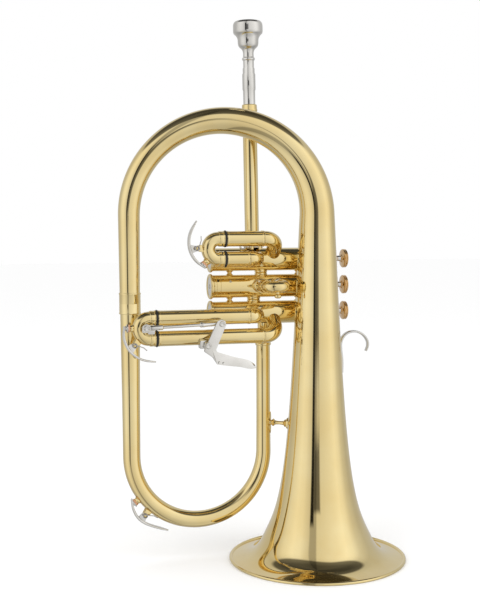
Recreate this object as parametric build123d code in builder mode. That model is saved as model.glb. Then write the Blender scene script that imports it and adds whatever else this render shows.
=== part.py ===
from build123d import *
from math import atan2, cos, degrees, hypot, radians, sin
import os

# Flugelhorn, standing on its bell. Millimetres. Origin: centre of the bell mouth, on the rim's
# lowest plane. +Z up the bell's axis, +X towards the finger buttons, -Y towards the bell side.

# ---------------------------------------------------------------- driving dimensions
rim_radius = 76.2          # 6 inch bell
rim_bead = 1.5             # radius of the wire rolled into the rim
rim_flat = 0.12            # how much of the bead is worn flat where it stands
bell_wall = 0.7
bow_z = 296.0              # where the bell's stem ends and the top bow starts
tail_x = -156.2            # the tube on the far side of the loop
valve_y = 29.6             # plane of valves, tail tube, lower bow and mouthpipe
return_x = -39.6           # right leg of the lower bow
lower_bow_z = 92.0         # centre of the lower bow's half circle
tube_wall = 0.6

valve_z = (258.5, 235.5, 212.5)
casing_radius = 9.85
casing_bore = 8.45
casing_x0 = -85.4
casing_x1 = 6.0
cap_radius = 10.95
bottom_cap_x0 = -87.8
top_cap_x1 = 15.0
stem_radius = 2.5
button_x0 = 31.6
button_x1 = 37.0
button_radius = 8.2
piston_x0 = -62.0
piston_x1 = -2.0
fit = 0.05                 # radial clearance of every running fit

slide_y = 11.0             # plane of the first and third slides
leg_radius = 6.45
leg_wall = 0.55
leg_gap = 17.0             # centre to centre of a slide's two legs
slide_1_z = 268.0          # middle of the first slide
slide_3_z = 202.4
slide_3_far_z = slide_3_z - leg_gap / 2   # height of its lower, long leg
slide_1_end_x = -77.0      # open ends of the outer legs
slide_3_end_x = -136.2
short_elbow_x = -48.5      # the leg that turns straight back into its casing
long_elbow_x = -32.4       # the leg that bends round to its casing
short_bend = 7.2
long_bend = 10.5
ring_length = 1.8          # rubber ring between leg and slide bow
ring_radius = 7.2
collar_length = 5.2        # ferrule of a slide bow
slide_2_x = (-45.5, -30.5)
slide_2_z = 236.4
slide_2_radius = 5.0
slide_2_end_y = 3.0
slide_2_centre_y = -3.0

mouthpipe_foot = (-49.0, valve_y, 268.0)
mouthpipe_lean = 0.95      # degrees towards the tail tube
mouthpipe_radius = 6.1
receiver_top = 123.0       # along the mouthpipe's axis, from its foot
receiver_length = 19.0
shank_depth = 17.0
mouthpiece_length = 70.2   # what stands proud of the receiver

trigger_pivot = (-97.0, 188.5)
trigger_pin = (-85.0, 206.2)
rod_pivot = (-147.8, 203.9)
rod_y = -2.4
arm_y = -4.9

os.makedirs("parts", exist_ok=True)


def finish(builder, name):
    """Label one finished sub-part and write it."""
    builder.part.label = name
    export_step(builder.part, f"parts/{name}.step")


# ---------------------------------------------------------------- planes and shared tools
def across(x, y=0.0, z=0.0):
    """Plane whose normal is +X, for what turns about an axis along X."""
    return Plane(origin=(x, y, z), x_dir=(0, 1, 0), z_dir=(1, 0, 0))


def facing(y, x=0.0, z=0.0):
    """Plane seen from the bell side: local x is +X, local y is +Z, normal -Y."""
    return Plane(origin=(x, y, z), x_dir=(1, 0, 0), z_dir=(0, -1, 0))


loop_span = hypot(tail_x, valve_y)
loop_dir = (tail_x / loop_span, valve_y / loop_span, 0)
loop_plane = Plane(origin=(0, 0, bow_z), x_dir=loop_dir, z_dir=(loop_dir[1], -loop_dir[0], 0))
lean = radians(mouthpipe_lean)
mouthpipe_plane = Plane(origin=mouthpipe_foot, x_dir=(cos(lean), 0, sin(lean)),
                        z_dir=(-sin(lean), 0, cos(lean)))


def turned(plane, profile, bore=None):
    """Solid of revolution about a plane's normal; profile is (distance along, radius)."""
    side = Plane(origin=plane.origin, x_dir=plane.x_dir, z_dir=-plane.y_dir)
    with BuildPart() as piece:
        with BuildSketch(side):
            with BuildLine():
                Polyline((0, profile[0][0]), *[(r, z) for z, r in profile], (0, profile[-1][0]), close=True)
            make_face()
        revolve(axis=Axis(plane.origin, plane.z_dir))
        if bore:
            with BuildSketch(plane.offset(profile[0][0] - 1)):
                Circle(bore)
            extrude(amount=profile[-1][0] - profile[0][0] + 2, mode=Mode.SUBTRACT)
    return piece.part


def pipe(corners, bend, radius, wall):
    """Tube of constant bore along straight runs joined by round bends."""
    with BuildPart() as tube:
        with BuildLine() as path:
            if len(corners) > 2:
                FilletPolyline(*corners, radius=bend)
            else:
                Line(*corners)
        with BuildSketch(Plane(path.line ^ 0)):
            Circle(radius)
            Circle(radius - wall, mode=Mode.SUBTRACT)
        sweep()
    return tube.part


def rod(start, end, radius):
    """Plain round bar between two points."""
    with BuildPart() as bar:
        with BuildSketch(Plane(origin=start, z_dir=Vector(*end) - Vector(*start))):
            Circle(radius)
        extrude(amount=(Vector(*end) - Vector(*start)).length)
    return bar.part


def casing_round(index, radius=casing_radius):
    """The full outer cylinder of one casing, to cut what is brazed to it."""
    return rod((casing_x0 - 5, valve_y, valve_z[index]), (casing_x1 + 14, valve_y, valve_z[index]), radius)


# ---------------------------------------------------------------- bell
# Radii of the flare, from the rim's inner edge up to the stem, by height.
flare = ((1.5, 74.6), (3.2, 64.4), (6.5, 56.4), (12, 50.9), (21, 46.0), (35, 39.6), (55, 33.6),
         (90, 27.9), (140, 23.3), (210, 19.1), (bow_z, 14.9))


def bell_line():
    """Outer skin of the bell in half section, as (radius, height)."""
    return Spline(*[(r, z) for z, r in flare])


def inside(line, t):
    """Point one wall thickness inside the skin."""
    tangent = line % t
    return line @ t + Vector(-tangent.Y, tangent.X) * bell_wall


with BuildPart() as bell_round:
    with BuildSketch(Plane.XZ):
        with BuildLine():
            skin_line = bell_line()
            Polyline(skin_line @ 1, (0, bow_z), (0, flare[0][0]), skin_line @ 0)
        make_face()
    revolve(axis=Axis.Z)
bell_skin = bell_round.part

with BuildPart() as bell:
    with BuildSketch(Plane.XZ):
        with BuildLine():
            outer = bell_line()
            inner = Spline(*[inside(outer, step / 16) for step in range(17)])
            Line(outer @ 0, inner @ 0)
            Line(outer @ 1, inner @ 1)
        make_face()
        with Locations((rim_radius - rim_bead, rim_bead - rim_flat)):
            Circle(rim_bead)
        with Locations((rim_radius - rim_bead, -1)):
            Rectangle(8, 2, mode=Mode.SUBTRACT)
    revolve(axis=Axis.Z)
finish(bell, "bell")

# ---------------------------------------------------------------- top bow, tail tube and its ferrule
top_bow_radii = (14.9, 12.9, 11.15, 9.95, 9.15)


def tapered_bow(plane, centre, radius, start, sweep_angle, radii):
    """Half-circle bow in a plane, its round section growing or shrinking along it."""
    with BuildPart() as bow:
        with BuildLine(plane) as path:
            CenterArc(centre, radius, start, sweep_angle)
        for step, section in enumerate(radii):
            with BuildSketch(Plane(path.line ^ (step / (len(radii) - 1)))):
                Circle(section)
        sweep(path=path.line, multisection=True)
    return bow.part


def hollow_bow(plane, centre, radius, start, sweep_angle, radii, wall):
    inner = [r - wall for r in radii]
    with BuildPart() as bow:
        add(tapered_bow(plane, centre, radius, start, sweep_angle, radii))
        add(tapered_bow(plane, centre, radius, start, sweep_angle, inner), mode=Mode.SUBTRACT)
    return bow.part


with BuildPart() as bell_bow:
    add(hollow_bow(loop_plane, (loop_span / 2, 0), loop_span / 2, 180, -180, top_bow_radii, tube_wall))
finish(bell_bow, "bell_bow")

ferrule_z = (213.6, 231.7)
tail_foot = Plane(origin=(tail_x, valve_y, 0), x_dir=(1, 0, 0), z_dir=(0, 0, 1))
with BuildPart() as bell_tail_tube:
    add(turned(tail_foot, ((223.0, 8.55), (233.0, 8.6), (bow_z, 9.15)), bore=8.0))
finish(bell_tail_tube, "bell_tail_tube")

with BuildPart() as bell_ferrule:
    add(turned(tail_foot, ((213.6, 8.9), (213.9, 9.2), (214.8, 9.2), (215.1, 9.0), (230.2, 9.0),
                           (230.5, 9.25), (231.4, 9.25), (231.7, 9.0)), bore=8.65))
finish(bell_ferrule, "bell_ferrule")

# ---------------------------------------------------------------- lower bow
bow_radii = (7.4, 7.3, 7.15, 6.8, 6.35)
bow_centre = ((tail_x + return_x) / 2, lower_bow_z)
with BuildPart() as lower_bow:
    add(turned(tail_foot, ((lower_bow_z, bow_radii[0]), (140, 7.6), (222.6, 8.4)), bore=6.6))
    add(hollow_bow(facing(valve_y), bow_centre, (return_x - tail_x) / 2, 180, 180, bow_radii, tube_wall))
    return_foot = Plane(origin=(return_x, valve_y, 0), x_dir=(1, 0, 0), z_dir=(0, 0, 1))
    add(turned(return_foot, ((lower_bow_z, bow_radii[-1]), (125, 6.05), (188.0, 6.0)), bore=5.4))
finish(lower_bow, "lower_bow")

with BuildPart() as lower_bow_ferrule:
    add(turned(return_foot, ((183.6, 6.5), (184.0, 6.75), (186.2, 6.75), (186.6, 6.4), (188.2, 6.3),
                             (189.2, 4.7), (206, 4.7)), bore=4.1))
    add(rod((return_x, valve_y, 180), (return_x, valve_y, 188), 6.02), mode=Mode.SUBTRACT)
    add(casing_round(2), mode=Mode.SUBTRACT)
    add(rod((long_elbow_x, slide_y, slide_3_far_z), (long_elbow_x, valve_y, valve_z[2]), leg_radius + 0.3),
        mode=Mode.SUBTRACT)
finish(lower_bow_ferrule, "lower_bow_ferrule")

# ---------------------------------------------------------------- brace from the bell to the lower bow
brace_z = 116.0
brace_angle = atan2(-valve_y, -return_x)
brace_dir = Vector(cos(brace_angle), sin(brace_angle), 0)
brace_plane = Plane(origin=(return_x, valve_y, brace_z), x_dir=(0, 0, 1), z_dir=brace_dir)
with BuildPart() as bell_brace:
    add(turned(brace_plane, ((4.0, 2.2), (8.4, 2.2), (9.4, 3.3), (10.6, 2.0), (15.0, 1.7), (19.0, 2.0),
                             (20.4, 3.3), (21.6, 2.2), (27.0, 2.2))))
    with BuildSketch(brace_plane.offset(3.0)):
        with BuildLine():
            Polyline((9.5, 0), (0, 4.6), (-9.5, 0), (0, -4.6), close=True)
        make_face()
    extrude(amount=3.7)
    with BuildSketch(brace_plane.offset(20.5)):
        Circle(5.2)
    extrude(amount=5.0)
    add(rod((return_x, valve_y, 90), (return_x, valve_y, 140), 6.3), mode=Mode.SUBTRACT)
    add(bell_skin, mode=Mode.SUBTRACT)
finish(bell_brace, "bell_brace")

# ---------------------------------------------------------------- valve casings and their caps
# Air ports: for each casing, (x, direction in the Y-Z plane in degrees, radius)
diagonal = degrees(atan2(slide_1_z + leg_gap / 2 - valve_z[0], valve_y - slide_y))
ports = (
    ((mouthpipe_foot[0], 90, 5.2), (-41.4, -90, 4.4), (short_elbow_x, 180, 5.4),
     (long_elbow_x, 180 - diagonal, 5.4)),
    ((-41.4, 90, 4.4), (-48.0, -90, 4.6), (slide_2_x[0], 180, 4.2), (slide_2_x[1], 180, 4.2)),
    ((-48.0, 90, 4.6), (return_x, -90, 5.2), (short_elbow_x, 180, 5.4), (long_elbow_x, 180 + diagonal, 5.4)),
)


def port_bore(index, port, reach=16.0):
    x, angle, radius = port
    centre = (x, valve_y, valve_z[index])
    end = (x, valve_y + reach * cos(radians(angle)), valve_z[index] + reach * sin(radians(angle)))
    return rod(centre, end, radius)


for index, z in enumerate(valve_z):
    with BuildPart() as casing:
        barrel = ((casing_x0, 9.6), (casing_x0 + 0.5, casing_radius),
                  (casing_x1 - 0.5, casing_radius), (casing_x1, 9.6))
        add(turned(across(0, valve_y, z), barrel, bore=casing_bore))
        for port in ports[index]:
            add(port_bore(index, port), mode=Mode.SUBTRACT)
    finish(casing, f"valve_casing_{index + 1}")

    with BuildPart() as bottom_cap:
        rim = ((bottom_cap_x0, 10.3), (bottom_cap_x0 + 0.6, cap_radius), (casing_x0 - 0.5, cap_radius),
               (casing_x0 - 0.05, 10.4), (casing_x0 - 0.05, casing_bore - fit),
                (casing_x0 + 5, casing_bore - fit))
        add(turned(across(0, valve_y, z), rim))
        with BuildSketch(across(bottom_cap_x0 - 1, valve_y, z)):
            Circle(1.6)
        extrude(amount=4, mode=Mode.SUBTRACT)
        with BuildSketch(across(bottom_cap_x0 + 1.6, valve_y, z)):
            Circle(7.2)
        extrude(amount=12, mode=Mode.SUBTRACT)
    finish(bottom_cap, f"bottom_cap_{index + 1}")

    with BuildPart() as top_cap:
        dome = ((casing_x1 + 0.05, 10.2), (casing_x1 + 0.6, cap_radius), (casing_x1 + 5.4, cap_radius),
                (casing_x1 + 6.0, 10.2), (casing_x1 + 7.6, 8.6), (top_cap_x1 - 0.6, 5.4), (top_cap_x1, 4.6))
        add(turned(across(0, valve_y, z), dome, bore=stem_radius + fit))
        with BuildSketch(across(casing_x1 - 1, valve_y, z)):
            Circle(7.6)
        extrude(amount=6.4, mode=Mode.SUBTRACT)
        add(bell_skin, mode=Mode.SUBTRACT)
    finish(top_cap, f"top_cap_{index + 1}")

# ---------------------------------------------------------------- what moves in each valve
piston_ports = ((-55.0, 90), (-43.5, 150), (-32.0, 210))
spring_wire = 0.45
spring_radius = 6.0
spring_turns = 6

for index, z in enumerate(valve_z):
    with BuildPart() as piston:
        shell = casing_bore - fit
        add(turned(across(0, valve_y, z), ((piston_x0, shell), (piston_x1, shell))))
        with BuildSketch(across(piston_x0 + 1.2, valve_y, z)):
            Circle(shell - 0.9)
        extrude(amount=piston_x1 - piston_x0 - 2.4, mode=Mode.SUBTRACT)
        for x, angle in piston_ports:
            reach = Vector(0, cos(radians(angle)), sin(radians(angle))) * (shell - 0.45)
            middle = Vector(x, valve_y, z)
            add(rod(tuple(middle - reach), tuple(middle + reach), 5.4))
        for x, angle in piston_ports:
            reach = Vector(0, cos(radians(angle)), sin(radians(angle))) * 12
            middle = Vector(x, valve_y, z)
            add(rod(tuple(middle - reach), tuple(middle + reach), 4.7), mode=Mode.SUBTRACT)
        with BuildSketch(across(piston_x0 - 1, valve_y, z)):
            Circle(3.2)
        extrude(amount=3, mode=Mode.SUBTRACT)
        shaving = turned(across(0, valve_y, z), ((piston_x0, 14), (piston_x1, 14)), bore=shell)
        add(shaving, mode=Mode.SUBTRACT)
    finish(piston, f"piston_{index + 1}")

    with BuildPart() as stem:
        add(turned(across(0, valve_y, z), ((piston_x1, 5.0), (piston_x1 + 2.0, 5.0),
                                           (piston_x1 + 2.0, stem_radius), (button_x0 - 0.05, stem_radius))))
    finish(stem, f"valve_stem_{index + 1}")

    with BuildPart() as button:
        add(turned(across(0, valve_y, z), ((button_x0, 3.1), (button_x0 + 0.9, 3.6), (button_x0 + 1.3, 7.4),
                                           (button_x0 + 2.0, button_radius), (button_x1 - 0.9, button_radius),
                                           (button_x1 - 0.2, 7.6), (button_x1, 6.9))))
    finish(button, f"finger_button_{index + 1}")

    spring_x0 = bottom_cap_x0 + 1.7
    spring_length = piston_x0 - 0.1 - spring_x0
    with BuildPart() as valve_spring:
        with BuildLine() as coil:
            height = spring_length - 2 * spring_wire
            Helix(height / spring_turns, height, spring_radius,
                  center=(spring_x0 + spring_wire, valve_y, z), direction=(1, 0, 0))
        with BuildSketch(Plane(coil.line ^ 0)):
            Circle(spring_wire)
        sweep()
    finish(valve_spring, f"valve_spring_{index + 1}")

# ---------------------------------------------------------------- knuckles and posts between the casings
def trimmed(solid, cutters, side=None):
    """A solid cut back to what it is brazed to; side picks the lump furthest along an axis."""
    with BuildPart() as piece:
        add(solid)
        for cutter in cutters:
            add(cutter, mode=Mode.SUBTRACT)
    return piece.part.solids().sort_by(side)[-1] if side else piece.part


knuckle_parts = []
for upper, x, radius in ((0, -41.4, 4.9), (1, -48.0, 5.1)):
    foot = Plane(origin=(x, valve_y, valve_z[upper + 1]))
    barrel = ((4, radius), (10.6, radius), (11.0, radius + 0.5), (12.1, radius + 0.5),
              (12.5, radius), (19, radius))
    tube = turned(foot, barrel, bore=radius - 0.5)
    knuckle_parts.append(trimmed(tube, (casing_round(upper), casing_round(upper + 1))))
with BuildPart() as valve_knuckles:
    for knuckle in knuckle_parts:
        add(knuckle)
finish(valve_knuckles, "valve_knuckles")

post_profile = ((4, 3.0), (10.4, 3.0), (11.55, 1.9), (12.7, 3.0), (19, 3.0))
post_parts = []
for upper in (0, 1):
    for x in (-69.5, -8.0):
        post = turned(Plane(origin=(x, valve_y, valve_z[upper + 1])), post_profile)
        post_parts.append(trimmed(post, (casing_round(upper), casing_round(upper + 1))))
with BuildPart() as valve_posts:
    for post in post_parts:
        add(post)
finish(valve_posts, "valve_posts")

# Saddles that hold the first and third casings to the bell
bell_saddle_parts = []
for index in (0, 2):
    block = rod((0, 12, valve_z[index]), (0, 24, valve_z[index]), 4.0)
    bell_saddle_parts.append(trimmed(block, (bell_skin, casing_round(index))))
with BuildPart() as bell_saddles:
    for saddle in bell_saddle_parts:
        add(saddle)
finish(bell_saddles, "bell_saddles")


# ---------------------------------------------------------------- first and third slides
def slide_levels(middle_z, near_z):
    """Heights of the leg next to the casing's axis and of the far leg."""
    levels = (middle_z - leg_gap / 2, middle_z + leg_gap / 2)
    near = min(levels, key=lambda level: abs(level - near_z))
    far = max(levels, key=lambda level: abs(level - near_z))
    return near, far


def outer_legs(name, index, end_x, middle_z):
    """The two fixed legs of a slide, their elbows into the casing, and a thin ferrule on each."""
    near, far = slide_levels(middle_z, valve_z[index])
    short = pipe(((end_x, slide_y, near), (short_elbow_x, slide_y, near), (short_elbow_x, valve_y - 2, near)),
                 short_bend, leg_radius, leg_wall)
    to_axis = Vector(0, valve_y - slide_y, valve_z[index] - far).normalized() * 20
    corner = Vector(long_elbow_x, slide_y, far)
    long = pipe(((end_x, slide_y, far), tuple(corner), tuple(corner + to_axis)),
                long_bend, leg_radius, leg_wall)
    cut_short = trimmed(short, (casing_round(index),), SortBy.VOLUME)
    cut_long = trimmed(long, (casing_round(index),), SortBy.VOLUME)
    band = ((0, leg_radius), (0.3, leg_radius + 0.3), (2.4, leg_radius + 0.3), (2.7, leg_radius))
    with BuildPart() as legs:
        add(cut_short)
        add(cut_long)
        for x, level in ((short_elbow_x - 10.5, near), (long_elbow_x - 14.0, far)):
            add(turned(across(x, slide_y, level), band, bore=leg_radius - 0.3))
    finish(legs, name)


outer_legs("slide_1_outer_legs", 0, slide_1_end_x, slide_1_z)
outer_legs("slide_3_outer_legs", 2, slide_3_end_x, slide_3_z)

slide_saddle_x = -70.0
slide_saddle_parts = []
for index, middle in ((0, slide_1_z), (2, slide_3_z)):
    near, far = slide_levels(middle, valve_z[index])
    block = rod((slide_saddle_x, slide_y + 3, near), (slide_saddle_x, valve_y - 4, near), 3.0)
    leg_round = rod((slide_saddle_x - 10, slide_y, near), (slide_saddle_x + 10, slide_y, near), leg_radius)
    slide_saddle_parts.append(trimmed(block, (leg_round, casing_round(index))))
with BuildPart() as slide_saddles:
    for saddle in slide_saddle_parts:
        add(saddle)
finish(slide_saddles, "slide_saddles")


def slide_bow(name, end_x, middle_z, reach):
    """Crook with its two collars and the inner legs that run in the outer ones."""
    bow_x = end_x - ring_length - collar_length
    inner = leg_radius - leg_wall - fit
    with BuildPart() as bow:
        with BuildLine(facing(slide_y)) as path:
            Line((end_x + reach, middle_z + leg_gap / 2), (bow_x, middle_z + leg_gap / 2))
            CenterArc((bow_x, middle_z), leg_gap / 2, 90, 180)
            Line((bow_x, middle_z - leg_gap / 2), (end_x + reach, middle_z - leg_gap / 2))
        with BuildSketch(Plane(path.wires()[0] ^ 0)):
            Circle(inner)
            Circle(inner - 0.5, mode=Mode.SUBTRACT)
        sweep(path=path.wires()[0])
        for side in (-1, 1):
            collar = ((bow_x, inner), (bow_x + 0.4, leg_radius), (end_x - ring_length - 1.5, leg_radius),
                      (end_x - ring_length - 1.2, leg_radius + 0.3), (end_x - ring_length, leg_radius + 0.3))
            add(turned(across(0, slide_y, middle_z + side * leg_gap / 2), collar, bore=inner - 0.3))
    finish(bow, name)


def slide_rings(name, end_x, middle_z):
    with BuildPart() as rings:
        for side in (-1, 1):
            level = middle_z + side * leg_gap / 2
            band = ((end_x - ring_length + 0.02, 6.6), (end_x - ring_length + 0.5, ring_radius),
                    (end_x - 0.5, ring_radius), (end_x - 0.05, 6.6))
            add(turned(across(0, slide_y, level), band, bore=leg_radius - leg_wall - fit + 0.02))
    finish(rings, name)


slide_bow("slide_1_bow", slide_1_end_x, slide_1_z, 20.0)
slide_rings("slide_1_rings", slide_1_end_x, slide_1_z)
slide_bow("slide_3_bow", slide_3_end_x, slide_3_z, 75.0)
slide_rings("slide_3_rings", slide_3_end_x, slide_3_z)

# ---------------------------------------------------------------- second slide, towards the bell side
slide_2_leg_parts = []
leg_profile = ((-24.0, 6.2), (-16.6, 6.0), (-14.4, 6.0), (-14.0, slide_2_radius + 0.3),
               (-slide_2_end_y - 1.9, slide_2_radius + 0.3), (-slide_2_end_y - 1.6, 5.6),
               (-slide_2_end_y, 5.6))
for x in slide_2_x:
    leg = turned(facing(0, x, slide_2_z), leg_profile, bore=slide_2_radius - 0.2)
    slide_2_leg_parts.append(trimmed(leg, (casing_round(1),), SortBy.VOLUME))
with BuildPart() as slide_2_outer_legs:
    for leg in slide_2_leg_parts:
        add(leg)
finish(slide_2_outer_legs, "slide_2_outer_legs")

slide_2_middle = sum(slide_2_x) / 2
with BuildPart() as slide_2_bow:
    inner = slide_2_radius - 0.2 - fit
    with BuildLine(Plane.XY.offset(slide_2_z)) as path:
        Line((slide_2_x[0], 16.5), (slide_2_x[0], slide_2_centre_y))
        CenterArc((slide_2_middle, slide_2_centre_y), (slide_2_x[1] - slide_2_x[0]) / 2, 180, 180)
        Line((slide_2_x[1], slide_2_centre_y), (slide_2_x[1], 16.5))
    with BuildSketch(Plane(path.wires()[0] ^ 0)):
        Circle(inner)
        Circle(inner - 0.5, mode=Mode.SUBTRACT)
    sweep(path=path.wires()[0])
    for x in slide_2_x:
        collar = ((-2.7, 5.5), (-2.3, 5.6), (0.4, 5.6), (0.9, 5.3), (2.6, 5.3), (3.0, 4.9))
        add(turned(facing(0, x, slide_2_z), collar, bore=inner - 0.3))
    knob_y = slide_2_centre_y - (slide_2_x[1] - slide_2_x[0]) / 2
    knob_foot = Plane(origin=(slide_2_middle, knob_y, slide_2_z - inner + 0.3), x_dir=(1, 0, 0),
                      z_dir=(0, 0, -1))
    add(turned(knob_foot, ((0, 1.4), (1.6, 1.4), (2.0, 2.6), (3.4, 3.0), (4.6, 2.6), (5.2, 1.4))))
finish(slide_2_bow, "slide_2_bow")

# ---------------------------------------------------------------- mouthpipe, receiver, mouthpiece
screw_y, screw_z = 18.8, 269.6      # the sleeve's ring-headed locking screw, along X
screw_radius = 1.25
screw_ring_x = -60.4

with BuildPart() as mouthpipe_sleeve:
    add(turned(mouthpipe_plane, ((-6.0, 7.2), (1.2, 7.2), (1.6, 7.7), (3.0, 7.7), (3.4, 7.2), (12.6, 7.2),
                                 (13.0, 7.6), (14.4, 7.6), (14.8, 7.2)), bore=mouthpipe_radius + fit))
    add(casing_round(0), mode=Mode.SUBTRACT)
    for x in (-53.6, -46.8):
        with BuildSketch(across(x, screw_y + 1.4, screw_z)):
            RectangleRounded(6.4, 5.6, 1.2)
        extrude(amount=2.6)
    add(turned(mouthpipe_plane, ((-12.0, mouthpipe_radius + fit), (20, mouthpipe_radius + fit))),
        mode=Mode.SUBTRACT)
    add(rod((-60, screw_y, screw_z), (-40, screw_y, screw_z), screw_radius + fit), mode=Mode.SUBTRACT)
finish(mouthpipe_sleeve, "mouthpipe_sleeve")

with BuildPart() as sleeve_screw:
    add(turned(across(0, screw_y, screw_z), ((-57.8, 1.9), (-55.6, 1.9), (-53.7, 2.2),
                                             (-53.7, screw_radius), (-43.0, screw_radius))))
    with BuildSketch(Plane(origin=(screw_ring_x, screw_y, screw_z), x_dir=(1, 0, 0), z_dir=(0, 0, 1))):
        with Locations((2.1, 0)):
            Circle(0.85)
    revolve(axis=Axis((screw_ring_x, screw_y, screw_z), (0, 1, 0)))
finish(sleeve_screw, "sleeve_screw")

with BuildPart() as mouthpipe:
    add(turned(mouthpipe_plane, ((0.6, mouthpipe_radius), (receiver_top - 18.5, mouthpipe_radius)), bore=5.3))
finish(mouthpipe, "mouthpipe")

with BuildPart() as mouthpiece_receiver:
    base = receiver_top - receiver_length
    add(turned(mouthpipe_plane, ((base - 4, 6.4), (base - 3.4, 6.75), (base - 1.2, 6.75), (base - 0.8, 6.35),
                                 (receiver_top - 5.5, 6.35), (receiver_top - 5.2, 6.7),
                                 (receiver_top - 0.4, 6.4), (receiver_top, 6.2)), bore=5.2))
    pipe_round = ((base - 6, mouthpipe_radius + 0.01), (receiver_top - 18.4, mouthpipe_radius + 0.01))
    add(turned(mouthpipe_plane, pipe_round), mode=Mode.SUBTRACT)
finish(mouthpiece_receiver, "mouthpiece_receiver")

# Outside of the mouthpiece from the shank's tip to the rim: (height over the receiver, radius)
with BuildPart() as mouthpiece:
    side = Plane(origin=mouthpipe_plane.origin + mouthpipe_plane.z_dir * receiver_top,
                 x_dir=mouthpipe_plane.x_dir, z_dir=-mouthpipe_plane.y_dir)
    with BuildSketch(side):
        with BuildLine():
            Polyline((3.9, -shank_depth), (4.7, -shank_depth), (5.12, 0.3), (5.15, 11.4), (5.6, 13.0),
                     (5.6, 25.5), (5.1, 26.6), (5.1, 30.4), (4.6, 31.4), (4.6, 37.2))
            ThreePointArc((4.6, 37.2), (5.5, 38.5), (4.6, 39.8))
            Line((4.6, 39.8), (4.5, 43.4))
            Spline((4.5, 43.4), (5.4, 46.4), (7.9, 48.9), (8.85, 53.0), (9.1, 55.6), (10.8, 58.6),
                   (12.2, 59.9))
            ThreePointArc((12.2, 59.9), (12.65, 60.5), (12.65, 61.3))
            Line((12.65, 61.3), (12.65, 66.6))
            Spline((12.65, 66.6), (11.9, 69.0), (10.3, mouthpiece_length), (8.9, 69.3), (8.2, 67.4))
            Spline((8.2, 67.4), (7.3, 60.0), (5.2, 53.0), (2.2, 46.0))
            Polyline((2.2, 46.0), (2.2, 44.0), (3.9, -shank_depth))
        make_face()
    revolve(axis=Axis(mouthpipe_plane.origin, mouthpipe_plane.z_dir))
finish(mouthpiece, "mouthpiece")

# ---------------------------------------------------------------- finger hook on the bell
solder_gap = 0.03          # film of solder between the hook's strap and the bell

with BuildPart() as finger_hook:
    with BuildSketch(facing(2.6)):
        with BuildLine() as spine:
            Polyline((22.7, 160.0), (22.2, 176.0), (21.7, 189.0))
            Spline((21.7, 189.0), (26.0, 194.2), (34.0, 196.4), (42.2, 192.6), (46.3, 184.6), (44.2, 178.8),
                   tangents=((-0.03, 1), (-0.5, -1)))
        trace(line_width=1.6)
    extrude(amount=5.2)
    add(Pos(solder_gap, 0, 0) * bell_skin, mode=Mode.SUBTRACT)
finish(finger_hook, "finger_hook")


def crook_cutter(end_x, middle_z, radius):
    """Solid round of a slide's crook, to trim what is brazed to it."""
    bow_x = end_x - ring_length - collar_length
    with BuildPart() as crook:
        with BuildLine(facing(slide_y)) as path:
            CenterArc((bow_x, middle_z), leg_gap / 2, 90, 180)
        with BuildSketch(Plane(path.line ^ 0)):
            Circle(radius)
        sweep(path=path.line)
    return crook.part


inner_leg = leg_radius - leg_wall - fit
crook_1 = crook_cutter(slide_1_end_x, slide_1_z, inner_leg)
crook_3 = crook_cutter(slide_3_end_x, slide_3_z, inner_leg)
bow_1_x = slide_1_end_x - ring_length - collar_length
bow_3_x = slide_3_end_x - ring_length - collar_length
skin = leg_gap / 2 + inner_leg

# ---------------------------------------------------------------- thumb trigger of the third slide
with BuildPart() as trigger_post:
    with BuildSketch(facing(slide_y)):
        with Locations((trigger_pivot[0] + 0.5, trigger_pivot[1])):
            RectangleRounded(11.5, 7.0, 1.6)
    extrude(amount=slide_y - 2.2)
    add(rod((-120, slide_y, slide_3_far_z), (-80, slide_y, slide_3_far_z), leg_radius), mode=Mode.SUBTRACT)
    add(turned(facing(0, *trigger_pivot), ((-3.0, 1.5), (6.7, 1.5), (6.7, 2.7), (7.9, 2.7), (8.3, 2.2))))
finish(trigger_post, "trigger_post")

with BuildPart() as trigger_spring:
    with BuildLine() as coil:
        Helix(1.05, 3.15, 2.3, center=(trigger_pivot[0], 1.7, trigger_pivot[1]), direction=(0, -1, 0))
    with BuildSketch(Plane(coil.line ^ 0)):
        Circle(0.4)
    sweep()
finish(trigger_spring, "trigger_spring")

with BuildPart() as trigger_lever:
    with BuildSketch(facing(arm_y)):
        with BuildLine():
            Polyline((-99.6, 186.2), (-89.0, 208.4), (-81.6, 206.0), (-90.6, 184.4), (-56.0, 171.6),
                     (-54.6, 168.4), (-86.4, 172.0), (-88.6, 176.0), (-100.4, 184.2), close=True)
        make_face()
    extrude(amount=1.5)
    with BuildSketch(facing(arm_y + 1.9, *trigger_pivot)):
        Circle(3.1)
    extrude(amount=3.4)
    with BuildSketch(facing(arm_y + 4, *trigger_pivot)):
        Circle(1.5 + fit)
    extrude(amount=8, mode=Mode.SUBTRACT)
    add(turned(facing(0, *trigger_pin), ((0.9, 1.1), (6.4, 1.1), (6.4, 2.4), (7.6, 2.4), (8.0, 1.9))))
finish(trigger_lever, "trigger_lever")

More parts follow.
